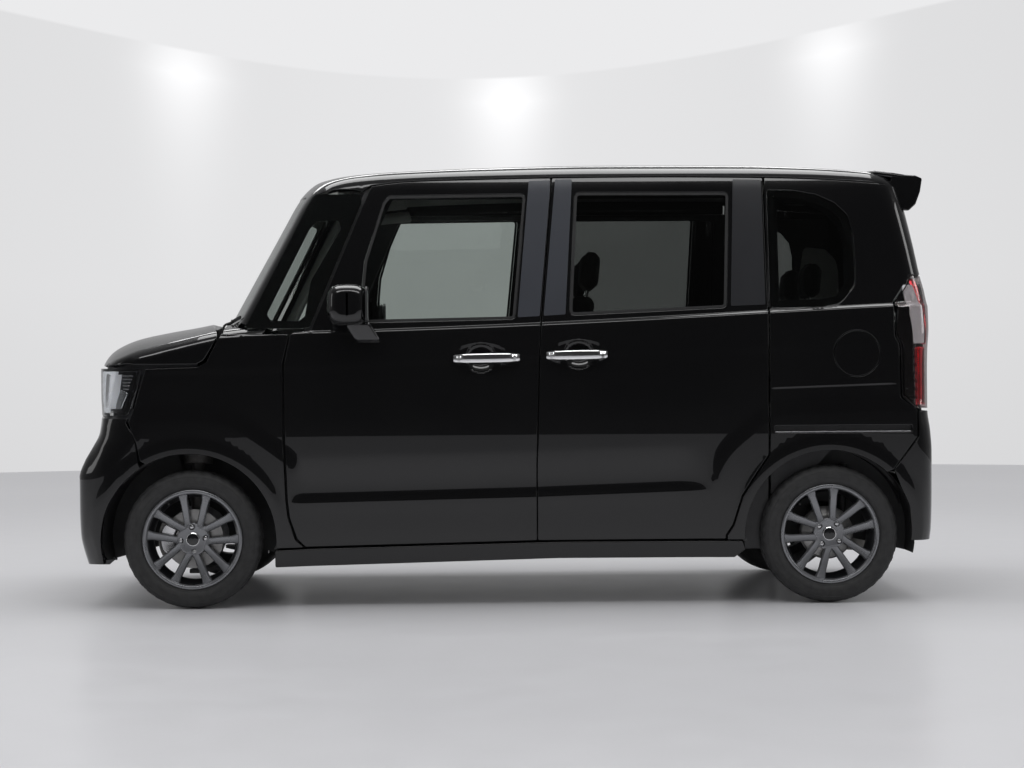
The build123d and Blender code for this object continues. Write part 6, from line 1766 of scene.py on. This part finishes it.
QT = rounded([(1056, 372), (1090, 372), (1330, 640), (1520, 640), (1520, 1640), (1056, 1640)], 20, 5)
QH = rounded([(1100, 1195), (1240, 1196), (1312, 1215), (1362, 1280), (1362, 1440), (1340, 1520), (1290, 1575), (1220, 1606), (1100, 1612)], 26, 5)
panel("quarter_trim", QT, M["plastic"], holes=[QH], point=low_point, rings=[(0, 0, 0), (0, 4, 90), (0, 4, 180)], closed=True, depth=84, sides=SIDES, step=30, back_step=40, edge_step=16)
# pale corner trim: painted light behind the quarter glass
panel("rear_corner_trim", rounded([(1384, 1190), (1560, 1190), (1566, 1330), (1560, 1440), (1500, 1500), (1400, 1512), (1384, 1400)], 26, 5), M["pale_trim_painted_light"], point=inner_point, rings=[(-4, 0, 0), (-2, 1.2, 40), (0, 4, 90), (0, 9, 180)], closed=True, depth=-92.0, sides=SIDES, step=24, edge_step=14)
panel("headliner", rounded([(-480, -470), (1400, -470), (1400, 470), (-480, 470)], 60, 5), M["plastic_light"], point=roof_point, rings=[(0, 0, 0), (0, 6, 90), (0, 6, 180)], closed=True, depth=56, step=45, back_step=60, edge_step=30)
for yc in (-330, 330):
    rbox("sun_visor_" + ("left" if yc < 0 else "right"), (-560, yc - 170, 1616), (-400, yc + 170, 1636), M["plastic_light"], r=9, seg=3,
         shape=lambda V: V + np.stack([0 * V[:, 0], 0 * V[:, 0], -0.10 * (V[:, 0] + 400) * -1], -1))
for i, (y0, y1) in enumerate(((-560, -420), (-120, -8), (8, 120), (440, 572))):
    rbox(f"vent_frame_{i}", (-668, y0, 872), (-640, y1, 938), M["gloss_trim"], r=9, seg=3)
    for k in range(4):
        rbox(f"vent_slat_{i}_{k}", (-646, y0 + 9, 881 + k * 14), (-634, y1 - 9, 885 + k * 14), M["satin_chrome"] if k == 0 else M["plastic"], r=1.6, seg=2)
rbox("centre_display", (-676, -112, 952), (-652, 112, 1086), M["gloss_trim"], r=10, seg=3, shape=lambda V: V + np.stack([0.18 * (V[:, 2] - 1010) * -0.4, 0 * V[:, 0], 0 * V[:, 0]], -1))
rbox("cluster_hood", (-760, 190, 1030), (-610, 480, 1078), M["plastic"], r=20, seg=4, cuts=(4, 8, 0), shape=lambda V: V + np.stack([0 * V[:, 0], 0 * V[:, 0], 14 * (1 - ((V[:, 1] - 335) / 145) ** 2)], -1))
rbox("cluster_glass", (-690, 210, 972), (-668, 460, 1036), M["gloss_trim"], r=9, seg=3)
rbox("shift_housing", (-672, -70, 770), (-620, 70, 860), M["plastic"], r=14, seg=3)
sweep("shift_lever", [(-626, 20, 800), (-596, 20, 824), (-574, 20, 850), (-560, 20, 880)], circle(8, 14), M["satin_chrome"], closed=False)
lathe("shift_knob", [(0.2, 914), (12, 912), (19, 902), (21, 888), (17, 872), (9, 866), (0.2, 866)], M["plastic"], (-558, 20, 0), axis="z", n=32)
rbox("glovebox_lid", (-664, -520, 700), (-640, -180, 840), M["plastic"], r=10, seg=3, cuts=(0, 4, 4), shape=lambda V: V + np.stack([0.42 * (V[:, 2] - 830) * 0.55, 0 * V[:, 0], 0 * V[:, 0]], -1))
rbox("dash_cloth_strip", (-650, -596, 846), (-640, 596, 862), M["satin_chrome"], r=3, seg=2)
# room mirror and its stalk
rbox("room_mirror", (-640, -112, 1512), (-612, 112, 1574), M["plastic"], r=13, seg=4)
rbox("room_mirror_glass", (-614, -104, 1519), (-609, 104, 1567), M["mirror"], r=2.2, seg=2)
sweep("room_mirror_stalk", [(-632, 0, 1545), (-660, 0, 1570), (-684, 0, 1600), (-700, 0, 1624)], circle(8, 14), M["plastic"], closed=False)
# steering wheel rim, hub and spokes ride on their own body
tl_ = math.radians(27)
hub = np.array([-430.0, 335.0, 990.0])
e1, e2 = np.array([0, 1.0, 0]), np.array([-math.sin(tl_), 0, math.cos(tl_)])
en = np.array([math.cos(tl_), 0, math.sin(tl_)])
rim_path = [hub + 176 * (math.cos(t) * e1 + math.sin(t) * e2) for t in np.linspace(0, 2 * math.pi, 72, endpoint=False)]
sweep("steering_rim", rim_path, circle(13.5, 16, 12), M["rubber"], "steering_wheel", closed=True, up=tuple(en), replaces=("steering_wheel",))


def to_wheel(V):
    return hub + V[:, :1] * e1 + V[:, 1:2] * e2 + V[:, 2:] * en


rbox("steering_pad", (-64, -52, -18), (64, 58, 22), M["plastic"], r=18, body="steering_wheel", seg=4, cuts=(6, 6, 0), shape=lambda V: to_wheel(V + np.stack([0 * V[:, 0], 0 * V[:, 0], 6 * (1 - (V[:, 0] / 64) ** 2) * (V[:, 2] > 0)], -1)))
rbox("steering_spoke_l", (-168, -16, -8), (-52, 18, 8), M["satin_chrome"], r=6, body="steering_wheel", seg=3, shape=to_wheel)
rbox("steering_spoke_r", (52, -16, -8), (168, 18, 8), M["satin_chrome"], r=6, body="steering_wheel", seg=3, shape=to_wheel)
rbox("steering_spoke_d", (-16, -168, -8), (16, -44, 8), M["satin_chrome"], r=6, body="steering_wheel", seg=3, shape=to_wheel)

# dark gutters behind the shut lines of the bonnet, lamps and bumpers
for nm_, pts_ in (("bonnet", [tf(x=-1215, z=926), tf(x=-1215, z=972), tf(x=-1215, z=972, right=True), tf(x=-1215, z=926, right=True)]),
                  ("bumper", [tf(x=-1452, z=738), tf(x=-1452, z=790), tf(x=-1452, z=790, right=True), tf(x=-1452, z=738, right=True)])):
    panel("gutter_" + nm_, dense(pts_, 30), M["satin_dark"], point=full_front, rings=[(0, 0, 0), (0, 4, 90), (0, 4, 180)], closed=True, depth=(26 if nm_ == "bonnet" else 14), step=30, back_step=40, edge_step=20)
panel("wing_backing", [(u_of_x(x, z), z) for x, z in rounded([(-1470, 560), (-1500, 700), (-1470, 930), (-1210, 936), (-1150, 1010), (-1120, 1050), (-880, 1050), (-880, 640), (-940, 560), (-1010, 600), (-1130, 655), (-1252, 670), (-1380, 640)], 10, 3)],
      M["satin_dark"], point=low_point, rings=[(0, 0, 0), (0, 4, 90), (0, 4, 180)], closed=True, depth=44, sides=SIDES, step=34, back_step=44, edge_step=22)
panel("quarter_backing", XR(rounded([(1000, 420), (1060, 560), (1060, 1160), (1560, 1160), (1560, 800), (1600, 700), (1600, 600), (1500, 560), (1400, 640), (1276, 668), (1130, 640), (1040, 560)], 10, 3)),
      M["satin_dark"], point=low_point, rings=[(0, 0, 0), (0, 4, 90), (0, 4, 180)], closed=True, depth=60, sides=(True,), step=34, back_step=44, edge_step=22)

# ============================================================ stage, light and camera
m, nt, b = nodes_of("studio_floor")
setp(b, base=(0.5, 0.5, 0.51), rough=0.3, coat=0.1, coat_rough=0.2)
f1 = noise(nt, 0.35, 3.0, 0.5)
f2 = noise(nt, 5.0, 8.0, 0.62)
ad = nt.nodes.new("ShaderNodeMath")
ad.operation = "MULTIPLY_ADD"
ad.inputs[1].default_value = 0.35
nt.links.new(f2, ad.inputs[0])
nt.links.new(f1, ad.inputs[2])
near = ramp(nt, ad.outputs[0], [(0.2, (0.47, 0.47, 0.485)), (1.0, (0.51, 0.51, 0.525))])
# painted light: the floor's colour brightens from 2.2 m to 9 m out, making up for the lamps' light falling off towards
# the wall
tco = nt.nodes.new("ShaderNodeTexCoord")
ln = nt.nodes.new("ShaderNodeVectorMath")
ln.operation = "LENGTH"
nt.links.new(tco.outputs["Object"], ln.inputs[0])
floor_far_painted_light = nt.nodes.new("ShaderNodeMix")
floor_far_painted_light.data_type = "RGBA"
nt.links.new(maprange(nt, ln.outputs["Value"], 0.0, 1.0, 2.2, 9.0), floor_far_painted_light.inputs[0])
nt.links.new(near, floor_far_painted_light.inputs[6])
floor_far_painted_light.inputs[7].default_value = (0.74, 0.74, 0.76, 1.0)
nt.links.new(floor_far_painted_light.outputs[2], b.inputs["Base Color"])
nt.links.new(maprange(nt, f2, 0.28, 0.34, 0.2, 0.8), b.inputs["Roughness"])
bm = bmesh.new()
bmesh.ops.create_circle(bm, cap_ends=True, radius=13.0, segments=160)
me = bpy.data.meshes.new("floor")
bm.to_mesh(me)
bm.free()
floor = bpy.data.objects.new("floor", me)
bpy.context.scene.collection.objects.link(floor)
floor.location = (0, 0, -0.0005)
floor.data.materials.append(m)

wd = bpy.data.worlds.new("studio")
bpy.context.scene.world = wd
wd.use_nodes = True
nt = wd.node_tree
for n in list(nt.nodes):
    nt.nodes.remove(n)


def mth(op, a, b_=None, c=None, clamp=False):
    n = nt.nodes.new("ShaderNodeMath")
    n.operation = op
    n.use_clamp = clamp
    for i, v in enumerate((a, b_, c)):
        if v is None:
            continue
        if isinstance(v, (int, float)):
            n.inputs[i].default_value = v
        else:
            nt.links.new(v, n.inputs[i])
    return n.outputs[0]


tc = nt.nodes.new("ShaderNodeTexCoord")
sep = nt.nodes.new("ShaderNodeSeparateXYZ")
nt.links.new(tc.outputs["Generated"], sep.inputs[0])
dx, dy, dz = sep.outputs
az = mth("ARCTAN2", dx, dy)
hor = mth("SQRT", mth("ADD", mth("MULTIPLY", dx, dx), mth("MULTIPLY", dy, dy)))
el = mth("DIVIDE", dz, mth("MAXIMUM", hor, 0.001))
# the studio seen round the car: pale wall, a soft skirting line, a ceiling edge and spot glows under it
scal = mth("MULTIPLY", mth("SUBTRACT", 1.0, mth("COSINE", mth("MULTIPLY", az, 8.0))), 0.0245)
edge = mth("ADD", scal, 0.152)
over = mth("SUBTRACT", el, edge)
ceil = mth("SMOOTH_MIN", 1.0, mth("MAXIMUM", mth("MULTIPLY", mth("ADD", over, 0.0006), 700.0), 0.0), 0.2)
glow = mth("POWER", mth("ADD", 0.5, mth("MULTIPLY", mth("COSINE", mth("MULTIPLY", mth("SUBTRACT", az, 0.022), 39.2)), 0.5)), 7.0)
fall = mth("POWER", 2.718, mth("MULTIPLY", mth("ABSOLUTE", mth("ADD", over, 0.012)), -34.0))
wall = mth("ADD", 0.80, mth("MULTIPLY", mth("MULTIPLY", glow, fall), 0.28))
wall = mth("SUBTRACT", wall, mth("MULTIPLY", mth("MAXIMUM", mth("SUBTRACT", 0.05, el), 0.0), 0.5))
wall = mth("MULTIPLY", wall, mth("SUBTRACT", 1.0, mth("MULTIPLY", mth("MULTIPLY", mth("ABSOLUTE", mth("SINE", az)), 0.33), mth("MULTIPLY", 1.0, 1.0))))
vis = mth("ADD", mth("MULTIPLY", wall, mth("SUBTRACT", 1.0, ceil)), mth("MULTIPLY", ceil, 0.83))
# what the gloss reflects: bright behind the car and overhead, dim in front of it
back = mth("ADD", mth("MULTIPLY", dy, 0.5), 0.5)
back = mth("POWER", back, 2.2)
high = mth("MAXIMUM", mth("SUBTRACT", el, 0.55), 0.0)
gl = mth("ADD", mth("ADD", mth("MULTIPLY", back, 0.32), 0.03), mth("MULTIPLY", mth("MINIMUM", high, 1.2), 0.16))
gl = mth("ADD", gl, mth("MULTIPLY", mth("POWER", mth("ABSOLUTE", dx), 3.0), 0.06))
lp = nt.nodes.new("ShaderNodeLightPath")
gsel = mth("MULTIPLY", lp.outputs["Is Glossy Ray"], 1.0)
val = mth("ADD", mth("MULTIPLY", gsel, gl), mth("MULTIPLY", mth("SUBTRACT", 1.0, gsel), vis))
comb = nt.nodes.new("ShaderNodeCombineColor")
nt.links.new(val, comb.inputs[0])
nt.links.new(val, comb.inputs[1])
nt.links.new(mth("MULTIPLY", val, 1.012), comb.inputs[2])
bg = nt.nodes.new("ShaderNodeBackground")
nt.links.new(comb.outputs[0], bg.inputs["Color"])
bg.inputs["Strength"].default_value = 1.0
wo = nt.nodes.new("ShaderNodeOutputWorld")
nt.links.new(bg.outputs[0], wo.inputs["Surface"])


def area(name, loc, aim, sx, sy, power, col=(1, 1, 1)):
    ld = bpy.data.lights.new(name, "AREA")
    ld.shape = "RECTANGLE"
    ld.size, ld.size_y = sx, sy
    ld.energy = power
    ld.color = col
    o = bpy.data.objects.new(name, ld)
    o.location = loc
    o.rotation_euler = (Vector(aim) - Vector(loc)).to_track_quat("-Z", "Y").to_euler()
    bpy.context.scene.collection.objects.link(o)
    return o


area("overhead", (0.0, 0.3, 5.2), (0.0, 0.0, 0.0), 5.5, 2.6, 210)
area("overhead_front", (0.0, -3.4, 4.6), (0.0, -0.6, 0.6), 6.5, 0.8, 80)
area("overhead_back", (0.0, 4.2, 4.4), (0.0, 0.6, 0.6), 6.0, 0.8, 60)
area("end_left", (-6.5, -1.5, 2.6), (-1.0, 0.0, 0.8), 1.2, 2.6, 16)
area("end_right", (6.5, -1.5, 2.6), (1.0, 0.0, 0.8), 1.2, 2.6, 30)

bpy.context.scene.view_settings.view_transform = "Standard"
bpy.context.scene.view_settings.look = "None"

cam_data = bpy.data.cameras.new("camera")
cam = bpy.data.objects.new("camera", cam_data)
bpy.context.scene.collection.objects.link(cam)
cam_data.lens, cam_data.sensor_width = 70.3125, 36.0
yaw, tau, roll = 0.02299, 0.00062, -0.00754
fw = Vector((math.sin(yaw) * math.cos(tau), math.cos(yaw) * math.cos(tau), -math.sin(tau)))
rt = Vector((math.cos(yaw), -math.sin(yaw), 0.0))
up = rt.cross(fw)
r2 = rt * math.cos(roll) + up * math.sin(roll)
u2 = -rt * math.sin(roll) + up * math.cos(roll)
cam.matrix_world = Matrix(((r2.x, u2.x, -fw.x, -0.1588), (r2.y, u2.y, -fw.y, -8.6124), (r2.z, u2.z, -fw.z, 0.8814), (0, 0, 0, 1)))
bpy.context.scene.camera = cam

# frame nodes that stay in view take procedural finishes
KEEP = {
    "floor_pan": "carpet", "bulkhead": "under", "rear_wheelhouses": "under", "front_aprons": "under", "engine_block": "cast", "radiator": "under", "front_subframe": "steel",
    "rear_axle_beam": "steel", "rear_springs": "steel", "fuel_tank": "under", "exhaust": "exhaust", "fuel_filler": "trim", "cowl_panel": "trim", "dashboard": "plastic",
    "steering_column": "plastic", "steering_wheel": "plastic", "knuckle_left": "drum", "knuckle_right": "drum", "front_grille": "trim", "headlamps": "plastic", "tail_lamps": "plastic",
    "rear_spoiler": "paint", "door_handle_left": "chrome", "door_handle_right": "chrome", "sliding_door_handles": "chrome", "door_mirror_left": "paint", "door_mirror_right": "paint",
}
for n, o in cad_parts.items():
    mat = M[KEEP.get(n, "plastic")]
    if len(o.data.materials) == 0:
        o.data.materials.append(mat)
    for i in range(len(o.data.materials)):
        o.data.materials[i] = mat
